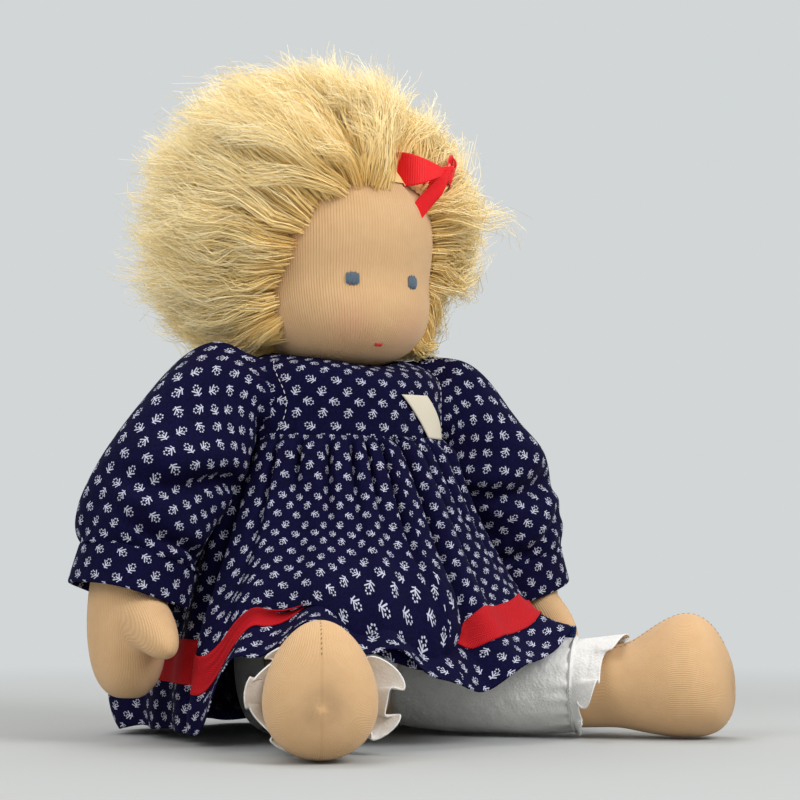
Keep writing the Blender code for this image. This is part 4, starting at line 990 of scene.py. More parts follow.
for side, label in ((1, "left"), (-1, "right")):
    paths = []
    for forward in (-1, 1):
        z = np.linspace(YOKE_SEAM + 0.0012, YOKE_TOP - 0.0045, 40)
        reach = ARMHOLE + TOPSTITCH_OFF
        y = forward * np.sqrt(np.maximum(reach ** 2 - (z - SHOULDER_Z) ** 2, 1e-7))
        height = (z - YOKE_SEAM) / (YOKE_TOP - YOKE_SEAM)
        _, deep = yoke_halves(height)
        angle = np.arccos(np.clip(-(y - TORSO_SETBACK) / deep, -1, 1)) * side
        paths.append(yoke_at(angle, height, 0.0007))
    settings = dict(TOPSTITCH, Thread=white_thread)
    topstitch = grow("armhole_topstitch_" + label, edge_paths("armhole_line", *paths), STITCHES, settings)
    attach(topstitch, "torso")


# The chest label is a bare cream tape, sewn into the yoke's lower left. The back opening has three
# plain white buttons with a raised rim.
LABEL_TURN = math.radians(31)
LABEL_SIZE = (0.0140, 0.0188)
LABEL_LOW = 0.1226
LABEL_LEAN = -0.80
# the dress top's radius at the label, which turns a reach across it into an angle
LABEL_BEND = 0.041
LABEL_WALL = 0.0004
BUTTON_RADIUS = 0.0037
# a share of the button's radius, and the height of its surface there
BUTTON_PROFILE = (
    (0.0, 0.0012), (0.35, 0.0012), (0.62, 0.0013), (0.78, 0.0019), (0.92, 0.0018), (1.0, 0.0010),
    (0.97, 0.0002), (0.6, 0.0), (0.0, 0.0),
)
CREAM = (0.80, 0.745, 0.60, 1)

label_tape = Finish("label_tape", CREAM, 0.75, sheen=0.1)
_, (across, along, _) = label_tape.place("cloth")
ribs = ((across * 9000).math("SINE") + (along * 12000).math("SINE")) * 0.25 + 0.5
label_tape.set(Base_Color=label_tape.mix(ribs, (0.70, 0.64, 0.50, 1), CREAM))
label_tape.relief(ribs, 0.0001)
share = np.linspace(-0.5, 0.5, 13)[None, :]
rise = np.linspace(0, 1, 23)[:, None]
height = (LABEL_LOW - YOKE_SEAM + rise * LABEL_SIZE[1]) / (YOKE_TOP - YOKE_SEAM)
angle = LABEL_TURN + (share * LABEL_SIZE[0] + LABEL_LEAN * (rise - 0.5) * LABEL_SIZE[1]) / LABEL_BEND
points = yoke_at(angle, height, 0.0011 + 0.0009 * np.sin(math.pi * rise) * (0.4 + share))
label_piece = skin("label_tape", points, plan_of(points, False), label_tape.material, False, (0, 0, 0.13))
modify(label_piece, "SOLIDIFY", thickness=LABEL_WALL, offset=-1)
settle(label_piece, "torso", "chest_label")

shell = Finish("button_shell", (0.80, 0.80, 0.77, 1), 0.25)
shell.shader.inputs["Coat Weight"].default_value = 0.3
for number in range(3):
    box_low, box_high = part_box("back_button_%d" % (number + 1))
    middle = (Vector(box_low) + Vector(box_high)) / 2
    turns = round_turns(40)
    rounds = between([(share * BUTTON_RADIUS, raised, 0) for share, raised in BUTTON_PROFILE], 24)
    points = np.stack([rounds[:, :1] * np.cos(turns), np.broadcast_to(rounds[:, 1:2], (24, 40)) - 0.0009,
                       rounds[:, :1] * np.sin(turns)], -1) + np.array(middle)
    button = skin("shell_button_%d" % (number + 1), points, plan_of(points), shell.material)
    settle(button, "torso", "back_button_%d" % (number + 1))


# The skirt is gathered into the yoke seam and falls over both legs to the floor behind. It is cut in
# two halves that meet in front and behind. Its folds are sharp under the seam and soften downward.
# Red herringbone tape is sewn on above the hem.
SKIRT_SPREAD = 0.100
SKIRT_TOP = (0.0484, 0.0370)
SKIRT_DROP = 0.1185
PLEAT_DEPTH = 0.0042
PLEATS = 18
GATHER_DEPTH = 0.0085
GATHERS = 28
# the share of the drop over which the gathers open out under the seam
GATHERS_FROM = 0.05
TAPE_FROM = 0.692
TAPE_TO = 0.831
TAPE_LIFT = 0.0007
TWILL_BAND = 0.0052
SKIRT_GRID = (92, 381)
TAPE_ROWS = 16
TUCK_IN = 0.0009
TUCK_UP = 0.0012
# direction in degrees from the front, then the drape curve's two middle points and its end, each as
# a share of the spread outward and of the drop downward
SKIRT_STATIONS = np.array((
    (-180, 0.56, 0.20, 0.90, 0.72, 0.78, 1.0), (-128, 0.62, 0.18, 1.08, 0.76, 0.88, 0.985),
    (-102, 0.52, 0.22, 0.80, 0.70, 0.74, 0.985), (-80, 0.52, 0.22, 0.80, 0.72, 0.76, 0.985),
    (-69, 0.55, 0.22, 0.98, 0.80, 0.92, 0.985), (-53, 0.56, 0.24, 0.74, 0.60, 0.98, 0.74),
    (-38, 0.56, 0.26, 0.68, 0.60, 1.01, 0.641), (-23, 0.56, 0.26, 0.70, 0.60, 0.97, 0.72),
    (4, 0.56, 0.24, 0.74, 0.62, 0.90, 0.85), (31, 0.56, 0.26, 0.70, 0.62, 0.97, 0.735),
    (46, 0.56, 0.26, 0.68, 0.62, 1.01, 0.653), (60, 0.56, 0.24, 0.76, 0.62, 0.98, 0.755),
    (70, 0.55, 0.22, 0.96, 0.78, 0.90, 0.985), (80, 0.52, 0.22, 0.80, 0.72, 0.76, 0.985),
    (102, 0.52, 0.22, 0.80, 0.70, 0.74, 0.985), (128, 0.62, 0.18, 1.08, 0.76, 0.88, 0.985),
    (180, 0.56, 0.20, 0.90, 0.72, 0.78, 1.0),
))
# how far, in millimetres, the cloth above the tape sags and stands out over it, at each direction
OVERHANG = np.array((
    (-180, 0, 0), (-78, 0, 0), (-66, 2, 3), (-52, 4, 5), (-38, 8, 9), (-28, 18, 14), (-18, 27, 15),
    (-6, 26, 14), (2, 16, 9), (10, 3, 2), (16, 0, 0), (180, 0, 0),
))
# where on the drop that cloth stands out, sags and turns back under, and how far each of them spreads
FOLD_OUT = (0.62, 0.09)
FOLD_DOWN = (0.655, 0.075)
FOLD_UNDER = (0.81, 0.07)


def folds(turn, drop):
    """Where the gathers carry the cloth: aside into their valleys, and out on their crests."""
    phase = turn * GATHERS + 1.5 * np.sin(turn * 3 + 0.7) + 1.0 * np.sin(turn * 8 + 2.0)
    reach = 0.46 + 0.20 * np.sin(turn * 4 + 1.0) + 0.15 * np.sin(turn * 9 + 0.4)
    uneven = 0.75 + 0.25 * np.sin(turn * 7 + 0.6)
    strength = np.clip(drop / GATHERS_FROM, 0, 1) * bump(drop, 0, reach) * uneven
    valley = ((1 + np.cos(phase)) / 2) ** 2
    return -0.85 * strength * np.sin(phase) / GATHERS, GATHER_DEPTH * strength * (0.35 - valley)


def skirt_at(degrees, drop, lift=0.0, smooth=False):
    """Points of the skirt, from the yoke seam (drop 0) to the hem (drop 1). smooth leaves out the folds."""
    stations = SKIRT_STATIONS
    place = np.clip(np.searchsorted(stations[:, 0], degrees) - 1, 0, len(stations) - 2)
    share = (degrees - stations[place, 0]) / (stations[place + 1, 0] - stations[place, 0])
    ease = ((1 - np.cos(math.pi * share)) / 2)[..., None]
    shares = stations[place, 1:] + (stations[place + 1, 1:] - stations[place, 1:]) * ease
    turn = np.radians(degrees)
    aside, raised = folds(turn, drop)
    broad = (1 + np.cos(turn * PLEATS + 1.2 * np.sin(turn * 3 + 0.5))) / 2
    if smooth:
        aside, raised, broad = 0, 0.35 * GATHER_DEPTH * np.clip(drop / GATHERS_FROM, 0, 1), 1
    top = np.hypot(SKIRT_TOP[0] * np.sin(turn), SKIRT_TOP[1] * np.cos(turn))
    outs = (top, shares[..., 0] * SKIRT_SPREAD, shares[..., 2] * SKIRT_SPREAD, shares[..., 4] * SKIRT_SPREAD)
    downs = (0 * top, shares[..., 1] * SKIRT_DROP, shares[..., 3] * SKIRT_DROP, shares[..., 5] * SKIRT_DROP)
    left = 1 - drop
    slopes = (-left ** 2, left ** 2 - 2 * drop * left, 2 * drop * left - drop ** 2, drop ** 2)
    out, down = bezier(drop, *outs), bezier(drop, *downs)
    slope_out = sum(weight * value for weight, value in zip(slopes, outs))
    slope_down = sum(weight * value for weight, value in zip(slopes, downs))
    length = np.hypot(slope_out, slope_down)
    sag, stand = (np.interp(degrees, OVERHANG[:, 0], OVERHANG[:, part]) / 1000 for part in (1, 2))
    under = bump(drop, *FOLD_UNDER)
    out = out + stand * (bump(drop, *FOLD_OUT) - under)
    down = down + sag * (bump(drop, *FOLD_DOWN) - 0.3 * under)
    pleat = PLEAT_DEPTH * (0.25 + 0.75 * drop) * broad + raised + lift
    out = out + slope_down / length * pleat
    down = down - slope_out / length * pleat
    tucked = np.exp(-drop / 0.02)
    out = out - TUCK_IN * tucked
    z = np.clip(YOKE_SEAM - 0.0003 - down + TUCK_UP * tucked, 0.0012 + lift, YOKE_SEAM + TUCK_UP)
    turn = turn + aside
    return np.stack([out * np.sin(turn), TORSO_SETBACK * (1 - drop) ** 3 - out * np.cos(turn), z], -1)


def bend_with_leg(made):
    """Bakes a cloth's transform into its mesh."""
    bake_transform(made)


hem_inside = print_finish("hem_wrong_side", NAVY_BACK, NAVY, SPRIG_BACK, HEM_EDGE)
twill = Finish("herringbone_twill", (0.56, 0.006, 0.014, 1), 0.8)
_, (across, along, _) = twill.place("cloth")
zigzag = ((along * (1 / TWILL_BAND)).math("FRACT") - 0.5).math("ABSOLUTE")
ridge = ((across * 900 + zigzag * 5.2) * (2 * math.pi)).math("SINE") * 0.5 + 0.5
twill.set(Base_Color=twill.mix(ridge, (0.36, 0.002, 0.006, 1), (0.60, 0.006, 0.014, 1)))
twill.relief(ridge, 0.00016)
for side, label in ((1, "left"), (-1, "right")):
    degrees = side * np.linspace(0, 180, SKIRT_GRID[1])[None, :]
    drop = np.linspace(0, 1, SKIRT_GRID[0])[:, None]
    points = skirt_at(degrees, drop)
    half = cloth("skirt_cotton_" + label, points, sprig_cotton, hem_inside, closed=False, middle=(0, 0, 0.06))
    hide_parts("skirt_" + label)
    bend_with_leg(half)

    drop = np.linspace(TAPE_FROM, TAPE_TO, TAPE_ROWS)[:, None]
    points = skirt_at(degrees, drop, TAPE_LIFT)
    tape = cloth("hem_tape_" + label, points, twill.material, twill.material, False, (0, 0, 0.04), 0.0005)
    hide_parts("hem_tape_" + label)
    bend_with_leg(tape)


# Each sleeve puffs out from the armhole, turns down over the shoulder and is caught in a wide cuff.
# It folds over itself above the cuff. The cuff is a straight double band, open below, with the arm
# hanging loose in it.
CUFF_TOP = (0.0925, 0.0735)
CUFF_RADIUS = 0.0238
CUFF_LENGTH = 0.0165
CUFF_LEAN = math.radians(16)
# distance along the cuff and how far its surface stands off the cuff's radius
CUFF_PROFILE = (
    (0.0002, -0.0013), (-0.0003, -0.0006), (0.0003, 0.0002), (0.003, 0.0004), (0.012, 0.0006),
    (0.0158, 0.0008), (0.0167, 0.0004), (0.0168, -0.0004), (0.0160, -0.0010), (0.012, -0.0012),
    (0.002, -0.0015),
)
LEFT_NEARER = 0.0030
SLEEVE_WRINKLE = 0.0009
SLEEVE_FOLD = 0.0062
# each crease's place along the sleeve, how far it climbs round it, and its share of the fold's depth
SLEEVE_CREASES = ((0.60, 0.07, 1.0), (0.79, -0.06, 0.6))
SLEEVE_GRID = (150, 170)
# out from the middle and height of a place by the torso and a place out on the arm; the sleeve is bound to
# neither
SLEEVE_STILL = (0.047, 0.135)
SLEEVE_SWUNG = (0.078, 0.120)
# out from the middle, height, half height, half depth, and lean of each ring, in metres and degrees
SLEEVE_RINGS = (
    (0.0474, 0.1365, 0.0188, 0.0172, 0), (0.0490, 0.1382, 0.0212, 0.0178, 5),
    (0.0515, 0.1372, 0.0238, 0.0188, 14), (0.0580, 0.1325, 0.0260, 0.0213, 28),
    (0.0668, 0.1235, 0.0270, 0.0248, 43), (0.0785, 0.1095, 0.0270, 0.0275, 59),
    (0.0880, 0.0930, 0.0272, 0.0275, 70), (0.0920, 0.0800, 0.0252, 0.0256, 74),
    (0.0925, 0.0735, 0.0234, 0.0236, 74), (0.0922, 0.0722, 0.0230, 0.0232, 74),
)


def wall_inset(points):
    """How far inside the dress top's widest line its wall lies, level with each point."""
    wide, deep = yoke_halves(np.clip((points[..., 2] - YOKE_SEAM) / (YOKE_TOP - YOKE_SEAM), 0, 1))
    wall = wide * np.sqrt(np.maximum(0, 1 - ((points[..., 1] - TORSO_SETBACK) / deep) ** 2))
    return np.minimum(YOKE_CHEST + YOKE_LOOSE - wall, 0.012)


def clear_of_skirt(points):
    """Moves points of a sleeve outward where the skirt or the dress top is in their way."""
    drop = np.maximum(0, (YOKE_SEAM - points[..., 2]) / SKIRT_DROP)
    degrees = np.degrees(np.arctan2(points[..., 0], -points[..., 1]))
    body = skirt_at(degrees, np.minimum(drop, 1), 0.0012, True)
    room = np.hypot(body[..., 0], body[..., 1])
    far = np.hypot(points[..., 0], points[..., 1])
    push = np.where(points[..., 2] < YOKE_SEAM + 0.002, np.maximum(1, room / far), 1)
    moved = points.copy()
    moved[..., :2] *= push[..., None]
    return moved


for side, label in ((1, "left"), (-1, "right")):
    rows = between(SLEEVE_RINGS, SLEEVE_GRID[0])
    nearer = LEFT_NEARER * (side == 1)
    rows[:, 0] -= nearer * np.linspace(0, 1, SLEEVE_GRID[0])
    lean = np.radians(rows[:, 4])[:, None]
    turns = round_turns(SLEEVE_GRID[1], math.pi)[None, :]
    along = np.linspace(0, 1, SLEEVE_GRID[0])[:, None]
    start, end = np.exp(-along / 0.09), np.exp(-(1 - along) / 0.16)
    ripples = np.sin(turns * 3 + along * 9 + side) + 0.8 * np.sin(turns * 5 - along * 15 + 2 * side)
    swell = SLEEVE_WRINKLE * ripples
    swell = swell + 0.0012 * end * np.abs(np.sin(turns * 8 + 1.5 * np.sin(turns * 3) + side))
    swell = swell + 0.0005 * start * np.sin(turns * 19 + np.sin(turns * 5))
    facing = np.exp(-((np.cos(turns + math.pi / 2 + 0.5 * np.cos(turns)) - 1) / 0.9) ** 2)
    for at, lean_share, depth in SLEEVE_CREASES:
        middle = at + lean_share * np.cos(turns) + 0.02 * np.sin(turns * 3 + side)
        swell = swell - SLEEVE_FOLD * depth * facing * bump(along, middle, 0.030)
        swell = swell + 0.45 * SLEEVE_FOLD * depth * facing * bump(along, middle - 0.075, 0.05)
    across = np.stack([side * np.sin(lean), 0 * lean, np.cos(lean)], -1)
    centre = np.stack([side * rows[:, 0], 0 * rows[:, 0], rows[:, 1]], -1)[:, None, :]
    points = centre + ((rows[:, 2, None] + swell) * np.cos(turns))[..., None] * across
    points = points + ((rows[:, 3, None] + swell) * np.sin(turns))[..., None] * np.array([0, 1, 0])
    points[..., 0] -= side * wall_inset(points) * np.exp(-along / 0.05)
    points = clear_of_skirt(points)
    sleeve = cloth("sleeve_cotton_" + label, points, sprig_cotton, sprig_wrong_side)
    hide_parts("sleeve_" + label)
    inner, outer = (Vector((side * out, 0, height)) for out, height in (SLEEVE_STILL, SLEEVE_SWUNG))
    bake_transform(sleeve)

    heading = np.array([side * math.sin(CUFF_LEAN), 0, -math.cos(CUFF_LEAN)])
    level = np.array([side * math.cos(CUFF_LEAN), 0, math.sin(CUFF_LEAN)])
    rounds = between([(down, out, 0) for down, out in CUFF_PROFILE], 60)
    turns = turns[0]
    wave = 0.0005 * np.sin(turns * 2 + side) + 0.0003 * np.sin(turns * 5)
    reach = CUFF_RADIUS + rounds[:, 1, None] + wave * rounds[:, :1] / CUFF_LENGTH
    slip = 0.0004 * np.sin(turns * 3 + 1)
    top = np.array([side * CUFF_TOP[0] - nearer, 0, CUFF_TOP[1]])
    points = (top + (rounds[:, :1] + slip)[..., None] * heading + (reach * np.cos(turns))[..., None] * level
              + (reach * np.sin(turns))[..., None] * np.array([0, 1, 0]))
    loop = np.concatenate([points, points[:1]])
    cuff = skin("cuff_band_" + label, loop, plan_of(loop), sprig_cotton)
    settle(cuff, "arm_" + label, "cuff_" + label)


# The hair is brushed mohair, sewn to the cap in locks and combed back off the face. It stands out in
# a wide soft halo, droops over the shoulders, and frays into wisps. The cap under it is crocheted;
# its ochre, darker than the hair, is painted shade deep inside the hair.
HAIR_MIDDLE = np.array((-0.002, 0.018, 0.2225))
HAIR_REACH = np.array((0.0755, 0.074, 0.0635))
SCALP_MIDDLE = np.array((0.0, -0.003, 0.2015))
SCALP_HEIGHTS = (0.163, 0.2473)
# the hairline's height at each turn to the side of the face
HAIRLINE_TURNS = (0, 20, 39, 57, 68, 76, 82)
HAIRLINE_HEIGHTS = (0.2243, 0.2225, 0.2178, 0.2050, 0.1930, 0.1800, 0.1500)
LOCKS = 1560
LOCK_POINTS = 8
# how far a lock's strands stand apart, how they curl and how wide and how many they are
LOCK_STRANDS = {"Root spread": 0.0022, "Tip spread": 0.0062, "Frizz": 0.017, "Width": 0.00036, "Strands": 62}
# the turn from one root to the next, which spreads them evenly over the scalp
ROOT_TURN = 2.39996
HAIR_PIECES = 6
HAIR_LOW = 0.1605
# how much the halo's outline swells and sinks from tuft to tuft, as a share of its reach
TUFTS = 0.05
# how far the cap keeps back from the hairline
CAP_BACK = 0.004
CAP_OFF = 0.0009
BOW_AT = np.array((0.031, -0.0415, 0.2325))
BOW_RIGHT = np.array((0.829, -0.559, 0.0))
BOW_NEAR = np.array((-0.559, -0.829, 0.0))
# millimetres right, up and nearer from the knot that locks keep out of
BOW_CLEAR = ((-26, 4), (-12, 7), -3)
MOHAIR = (0.99, 0.79, 0.38, 1)
# a darker gold at the roots, painted shade inside the halo, and a pale gold, a painted highlight on the tips
# of light-toned strands
MOHAIR_ROOT_SHADE = (0.98, 0.70, 0.26, 1)
MOHAIR_PALE_HIGHLIGHT = (0.98, 0.90, 0.65, 1)
# the cap's own ochre, made darker than the hair as painted shade deep inside the hair
CAP_COLOUR_AND_SHADE = (0.80, 0.58, 0.25, 1)


def mohair_tree():
    """Turns each lock's guide into a bundle of thin flat strands, spread, frayed and tapered."""
    sockets = (("Guides", "Geometry"), ("Root spread", "Float"), ("Tip spread", "Float"), ("Frizz", "Float"),
               ("Width", "Float"), ("Strands", "Int"), ("Seed", "Int"), ("Fibre", "Material"))
    tree, given, put = new_tree("strands_of_a_lock", sockets, "Hair")

    def sum_of(operation, first, second, vector=False):
        if vector:
            place = "Scale" if operation == "SCALE" else 1
            return put("ShaderNodeVectorMath", {0: first, place: second}, (("operation", operation),))
        return put("ShaderNodeMath", {0: first, 1: second}, (("operation", operation),))

    guides = put("GeometryNodeMeshToCurve", {0: given["Guides"]})
    many = put("GeometryNodeDuplicateElements", {"Geometry": guides, "Amount": given["Strands"]},
               (("domain", "SPLINE"),))
    strand = put("GeometryNodeCurveOfPoint", {})
    share = put("GeometryNodeSplineParameter", {})
    swing = put("FunctionNodeRandomValue", {"Min": (-1, -1, -1), "Max": (1, 1, 1), "ID": strand,
                                            "Seed": given["Seed"]}, (("data_type", "FLOAT_VECTOR"),))
    spread = put("ShaderNodeMix", {0: share, 2: given["Root spread"], 3: given["Tip spread"]})
    apart = sum_of("SCALE", swing, spread, vector=True)
    place = put("GeometryNodeInputPosition", {})
    spot = sum_of("SCALE", place, 70.0, vector=True)
    shifted = sum_of("ADD", spot, sum_of("SCALE", swing, 9.0, vector=True), vector=True)
    noise = put("ShaderNodeTexNoise", {"Vector": shifted, "Scale": 1.0, "Detail": 1.5}, output=1)
    frizz = sum_of("SCALE", sum_of("SUBTRACT", noise, (0.5, 0.5, 0.5), vector=True),
                   sum_of("MULTIPLY", given["Frizz"], share), vector=True)
    offset = sum_of("ADD", apart, frizz, vector=True)
    moved = put("GeometryNodeSetPosition", {"Geometry": many, "Offset": offset})
    end = put("FunctionNodeRandomValue", {2: 0.72, 3: 1.0, "ID": strand, "Seed": given["Seed"]}, output=1)
    cut = put("GeometryNodeTrimCurve", {"Curve": moved, "End": end})
    tone = put("FunctionNodeRandomValue", {2: 0.0, 3: 1.0, "ID": strand, "Seed": 5}, output=1)
    keep = tree.nodes.new("GeometryNodeCaptureAttribute")
    keep.capture_items.new("FLOAT", "tone")
    keep.capture_items.new("FLOAT", "along")
    for socket, source in zip(keep.inputs, (cut, tone, share)):
        tree.links.new(source, socket)
    thin = sum_of("MULTIPLY", given["Width"], sum_of("SUBTRACT", 1.0, sum_of("MULTIPLY", share, 0.62)))
    lean = put("FunctionNodeRandomValue", {2: 0.0, 3: 3.14, "ID": strand, "Seed": 8}, output=1)
    tilted = put("GeometryNodeSetCurveTilt", {"Curve": keep.outputs[0], "Tilt": lean})
    flat = put("GeometryNodeCurvePrimitiveLine", {"Start": (-0.5, 0, 0), "End": (0.5, 0, 0)})
    mesh = put("GeometryNodeCurveToMesh", {"Curve": tilted, "Profile Curve": flat, "Scale": thin})
    plan = put("ShaderNodeCombineXYZ", {0: keep.outputs[1], 1: keep.outputs[2]})
    stored = put("GeometryNodeStoreNamedAttribute", {"Geometry": mesh, "Name": "OFBake", "Value": plan},
                 (("data_type", "FLOAT2"), ("domain", "CORNER")))
    real = put("GeometryNodeRealizeInstances", {0: stored})
    dyed = put("GeometryNodeSetMaterial", {"Geometry": real, "Material": given["Fibre"]})
    put("NodeGroupOutput", {0: dyed}, output=None)
    return tree


def on_face(turn, height, margin=0.0):
    """Whether a place on the head lies inside the hairline."""
    off = abs(math.degrees(turn - FACE_TURN))
    return off < HAIRLINE_TURNS[-1] and height < np.interp(off, HAIRLINE_TURNS, HAIRLINE_HEIGHTS) + margin


def hides_bow(route):
    """Whether a lock would hang in front of the bow."""
    apart = (route - BOW_AT) * 1000
    right, up, near = apart @ BOW_RIGHT, apart[:, 2], apart @ BOW_NEAR
    (right_low, right_high), (up_low, up_high), near_low = BOW_CLEAR
    inside = (right > right_low) & (right < right_high) & (up > up_low) & (up < up_high)
    return bool((inside & (near > near_low)).any())


def lock_guides():
    """One guide for each lock: out of the scalp, back off the face, and waving as it goes."""
    dice = np.random.default_rng(11)
    guides = []
    steps = np.linspace(0, 1, LOCK_POINTS)[:, None]
    for number in range(LOCKS):
        height = SCALP_HEIGHTS[0] + (number + 0.5) / LOCKS * (SCALP_HEIGHTS[1] - SCALP_HEIGHTS[0])
        turn = (number * ROOT_TURN) % (2 * math.pi) - math.pi
        if on_face(turn, height):
            continue
        _, middle, _, wide, deep = head_at(height)
        root = np.array([wide * math.sin(turn), middle - deep * math.cos(turn), height])
        out = (root - SCALP_MIDDLE) / np.linalg.norm(root - SCALP_MIDDLE)
        aim = out + np.array([0.16 * out[0], 0.34, -0.08 + 1.05 * min(0.0, out[2])]) + dice.normal(0, 0.12, 3)
        phases = np.array((7 * turn + 150 * height, 5 * turn - 180 * height + 2, 6 * turn + 130 * height + 4))
        aim = aim + 0.20 * np.sin(phases)
        aim /= np.linalg.norm(aim)
        tufts = TUFTS * math.sin(turn * 5 + 1) * math.sin(height * 190)
        tufts += TUFTS * math.sin(turn * 9 + height * 120)
        reach = dice.uniform(0.84, 1.0) + tufts + (0.13 if dice.random() < 0.035 else 0.0)
        broad = 1 + 0.35 * max(0.0, -aim[2])
        tip = HAIR_MIDDLE + HAIR_REACH * aim * reach * np.array((broad, broad, 1.0))
        way = tip - root
        early = root + out * 0.011 + way * 0.12
        late = root + way * 0.62 + out * 0.010
        route = bezier(steps, root, early, late, tip)
        side = np.cross(way, dice.normal(0, 1, 3))
        side /= np.linalg.norm(side)
        other = np.cross(way / np.linalg.norm(way), side)
        turns = 2 * math.pi * dice.uniform(0.9, 1.9) * steps + dice.uniform(0, 6.28)
        size = dice.uniform(0.0020, 0.0052) * np.minimum(1, steps * 1.6)
        route = route + size * (np.sin(turns) * side + 0.7 * np.cos(turns * 0.8) * other)
        route[:, 2] = np.maximum(route[:, 2], HAIR_LOW + 0.004 * dice.random())
        if not hides_bow(route):
            guides.append(route)
    return guides


mohair = Finish("mohair", MOHAIR, 0.55, sheen=0.35)
mohair.shader.inputs["Sheen Tint"].default_value = (1.0, 0.85, 0.5, 1)
_, (tone, along, _) = mohair.place("OFBake")
# each strand: painted shade at the root, its own random tone along it, and a painted highlight toward the tip
# of light-toned strands
colour = mohair.mix((along * 0.9 + tone * 0.35).ease(0.05, 0.75), MOHAIR_ROOT_SHADE, MOHAIR)
mohair.set(Base_Color=mohair.mix((tone * 0.7 + along * 0.5 - 0.45).ease(0.0, 0.75), colour, MOHAIR_PALE_HIGHLIGHT))
tree = mohair_tree()
guides = lock_guides()
for number in range(HAIR_PIECES):
    source = edge_paths("hair_guides", *guides[number::HAIR_PIECES])
    settings = dict(LOCK_STRANDS, Seed=20 + number, Fibre=mohair.material)
    hair = grow("mohair_locks_%d" % (number + 1), source, tree, settings)
    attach(hair, "head")
    if number == 0:
        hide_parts("hair")

cap = Finish("crocheted_cap", CAP_COLOUR_AND_SHADE, 0.9, sheen=0.1)
_, (x, y, z) = cap.place()
rounds = (((x * x + y * y) ** 0.5 + z) * 2200).math("SINE") * 0.5 + 0.5
# crochet rounds over the cap's ochre, which is darker than the hair as painted shade
cap.set(Base_Color=cap.mix(rounds, (0.66, 0.45, 0.17, 1), CAP_COLOUR_AND_SHADE))
cap.relief(rounds, 0.0004)
rows = head_rows(150)
rows = rows[rows[:, 2] > SCALP_HEIGHTS[0]]
rows[:, 3:] += CAP_OFF
points = ellipses(rows, (1, 0, 0), (0, 1, 0), round_turns(160))
scalp = skin("crocheted_cap", points, plan_of(points), cap.material)
drop_faces(scalp, lambda at: on_face(math.atan2(at.x, -at.y), at.z, CAP_BACK))
settle(scalp, "head", "wig_cap")


# The bow is tied of ribbed red ribbon and sits in the hair left of the parting. The near loop stands
# open toward the doll's right. A slanting tail hangs in front of it, and the far loop lies back in the hair.
RIBBON_RED = (0.93, 0.009, 0.014, 1)
RIBBON_DARK = (0.74, 0.005, 0.009, 1)
# the two selvedges of each length of ribbon, as millimetres right, up and nearer from the knot
RIBBONS = {
    "bow_loop_right": (
        ((-2.9, 1.7, 2), (-8.3, 3.9, 7), (-16.1, 7.2, 8), (-22.5, 8.8, 5), (-25.2, 8.0, 1), (-23.8, 6.5, -3),
         (-17.6, 3.7, -7), (-10.1, 1.7, -7), (-2.9, 0.8, -3)),
        ((-4.1, -1.2, 3), (-9.1, -4.1, 9), (-15.3, -6.6, 10), (-23.1, -6.4, 7), (-26.6, -6.8, 3),
         (-25.2, -8.0, -2), (-19.2, -10.9, -6), (-13.8, -12.2, -6), (-5.0, -3.3, -3)),
    ),
    "bow_tail_right": (
        ((-4.1, 0.0, 3.5), (-9.5, -6.6, 6.5), (-15.3, -11.6, 7.5), (-16.6, -15.9, 6.5), (-16.2, -23.6, 5)),
        ((0.8, 1.4, 1), (-1.0, -0.8, 3.5), (-2.6, -5.4, 4.5), (-4.0, -9.3, 5), (-6.2, -11.2, 5)),
    ),
    "bow_loop_left": (
        ((-1.6, 1.8, 0), (-1.8, 7.0, -6), (-0.6, 10.5, -13), (0.2, 11.5, -19), (1.0, 10.5, -21),
         (2.2, 8.5, -19), (2.2, 4.8, -12), (0.6, 2.6, -6), (-0.6, 1.0, -1)),
        ((-2.0, -1.8, 0), (-4.5, -2.6, -6), (-4.5, -2.6, -13), (-3.4, -2.0, -19), (-2.2, -3.0, -21),
         (-1.0, -4.4, -19), (-0.8, -4.6, -12), (-1.4, -2.6, -6), (-1.8, -1.4, -1)),
    ),
    "bow_tail_left": (
        ((-3.6, -1.0, -2), (-7.6, -5.4, -4), (-11.0, -9.0, -5), (-13.4, -13.0, -5), (-14.0, -17.0, -5)),
        ((-1.4, -1.6, -5), (-3.0, -5.6, -12), (-5.0, -9.0, -15), (-6.8, -12.0, -16), (-8.6, -13.4, -16)),
    ),
}
RIBBON_WALL = 0.00035
RIBBON_RIB = 0.00072


def from_knot(rows):
    """Places given as right, up and nearer from the knot, in the doll's own frame."""
    rows = np.array(rows) / 1000
    up = np.array((0, 0, 1))
    return BOW_AT + rows[..., :1] * BOW_RIGHT + rows[..., 1:2] * up + rows[..., 2:] * BOW_NEAR


ribbon = Finish("ribbed_ribbon", RIBBON_RED, 0.5, sheen=0.05)
_, (across, along, _) = ribbon.place("cloth")
ribs = (along * (2 * math.pi / RIBBON_RIB)).math("SINE") * 0.5 + 0.5
ribbon.set(Base_Color=ribbon.mix(ribs, RIBBON_DARK, RIBBON_RED))
ribbon.relief(ribs, 0.00012)
BOW_SLIDE = np.linspace(0, 1, 16)[None, :, None]
for name, (upper, lower) in RIBBONS.items():
    rails = [between(from_knot(rail), 90)[:, None, :] for rail in (upper, lower)]
    points = rails[0] * (1 - BOW_SLIDE) + rails[1] * BOW_SLIDE
    length = skin(name + "_ribbon", points, plan_of(points, False), ribbon.material, False, BOW_AT.tolist())
    modify(length, "SOLIDIFY", thickness=RIBBON_WALL, offset=0)
    settle(length, "head", name)

turns = round_turns(48)
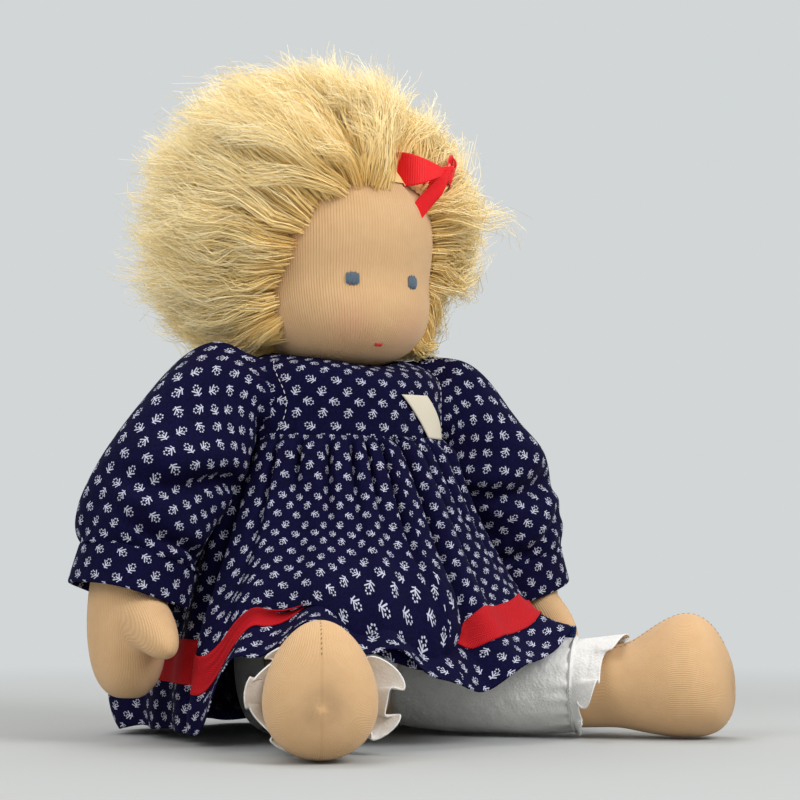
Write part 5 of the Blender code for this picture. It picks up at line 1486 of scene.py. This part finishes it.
# up from the knot's middle, and the half sizes along and across it
barrel = between(((-4.0, 0.0, 0.0), (-4.0, 1.9, 1.7), (-3.6, 2.5, 2.5), (-1.2, 2.1, 2.4), (1.2, 2.0, 2.3),
                  (3.0, 2.5, 2.6), (3.4, 1.9, 1.8), (3.4, 0.0, 0.0)), 40) / 1000
creases = 1 + 0.07 * np.sin(turns * 6)
points = (from_knot((-2.0, 0.0, 0.5)) + barrel[:, :1, None] * np.array((0.25, 0.05, 0.97))
          + (barrel[:, 1:2] * np.cos(turns) * creases)[..., None] * BOW_RIGHT
          + (barrel[:, 2:3] * np.sin(turns) * creases)[..., None] * BOW_NEAR)
knot = skin("bow_knot_ribbon", points, plan_of(points), ribbon.material)
settle(knot, "head", "bow_knot")


# The room is a photographer's table: a pale seamless sweep, one wide soft lamp high on the right,
# a weaker one on the left, and one behind that lights the edge of the hair. The sweep runs out into
# the backdrop's own flat colour, which only the camera, gloss and glass see.
BACKDROP = (0.644, 0.672, 0.680, 1)
TABLE_COLOUR = (0.43, 0.443, 0.44, 1)
TABLE_RADIUS = 2.5
TABLE_SIDES = 64
FADE_FROM = 0.30
FADE_TO = 0.75
ROOM_LEVEL = 0.50
LAMPS = (
    ("key_lamp", (0.45, -1.40, 1.25), 1.1, 22.5), ("fill_lamp", (-1.5, -0.5, 1.1), 1.2, 12.0),
    ("top_lamp", (0.1, 0.5, 1.7), 1.2, 14.0),
)


def seen(finish):
    """1 for the rays that show the background itself, and 0 for the light that it throws."""
    rays = finish.node("ShaderNodeLightPath", {}, {})
    camera_ray, glossy, clear = (Number(finish, rays.outputs[name])
                                 for name in ("Is Camera Ray", "Is Glossy Ray", "Is Transmission Ray"))
    return camera_ray.math("MAXIMUM", glossy).math("MAXIMUM", clear)


sweep = Finish("table_paper", TABLE_COLOUR, 0.9)
_, (x, y, _) = sweep.place()
fade = ((x * x + y * y) ** 0.5).ease(FADE_FROM, FADE_TO) * seen(sweep)
flat = sweep.result("ShaderNodeEmission", {}, {"Color": BACKDROP, "Strength": 1.0})
paper = Number(sweep, sweep.shader.outputs[0])
both = sweep.result("ShaderNodeMixShader", {}, {0: fade, 1: paper, 2: flat})
sweep.tree.links.new(both.socket, sweep.tree.nodes["Material Output"].inputs["Surface"])
rim = [(TABLE_RADIUS * math.cos(turn), TABLE_RADIUS * math.sin(turn), 0) for turn in round_turns(TABLE_SIDES)]
table_paper = link_mesh("table_paper", rim, [tuple(range(TABLE_SIDES))], sweep.material)

world = bpy.data.worlds.new("room")
bpy.context.scene.world = world
world.use_nodes = True
walls = Sums(world.node_tree)
background = walls.tree.nodes["Background"]
level = seen(walls).ease(0, 1, 0.0, 1.0)
colour = walls.mix(level, (1.0, 0.985, 0.96, 1), BACKDROP)
walls.tree.links.new(colour.socket, background.inputs["Color"])
walls.tree.links.new((level * (1 - ROOM_LEVEL) + ROOM_LEVEL).socket, background.inputs["Strength"])

for name, place, size, power in LAMPS:
    lamp = bpy.data.objects.new(name, bpy.data.lights.new(name, "AREA"))
    lamp.data.shape = "DISK"
    lamp.data.size = size
    lamp.data.energy = power
    lamp.location = place
    aim = Vector((0, 0, 0.12)) - lamp.location
    lamp.rotation_euler = aim.to_track_quat("-Z", "Y").to_euler()
    bpy.context.scene.collection.objects.link(lamp)
bpy.context.scene.view_settings.view_transform = "Standard"
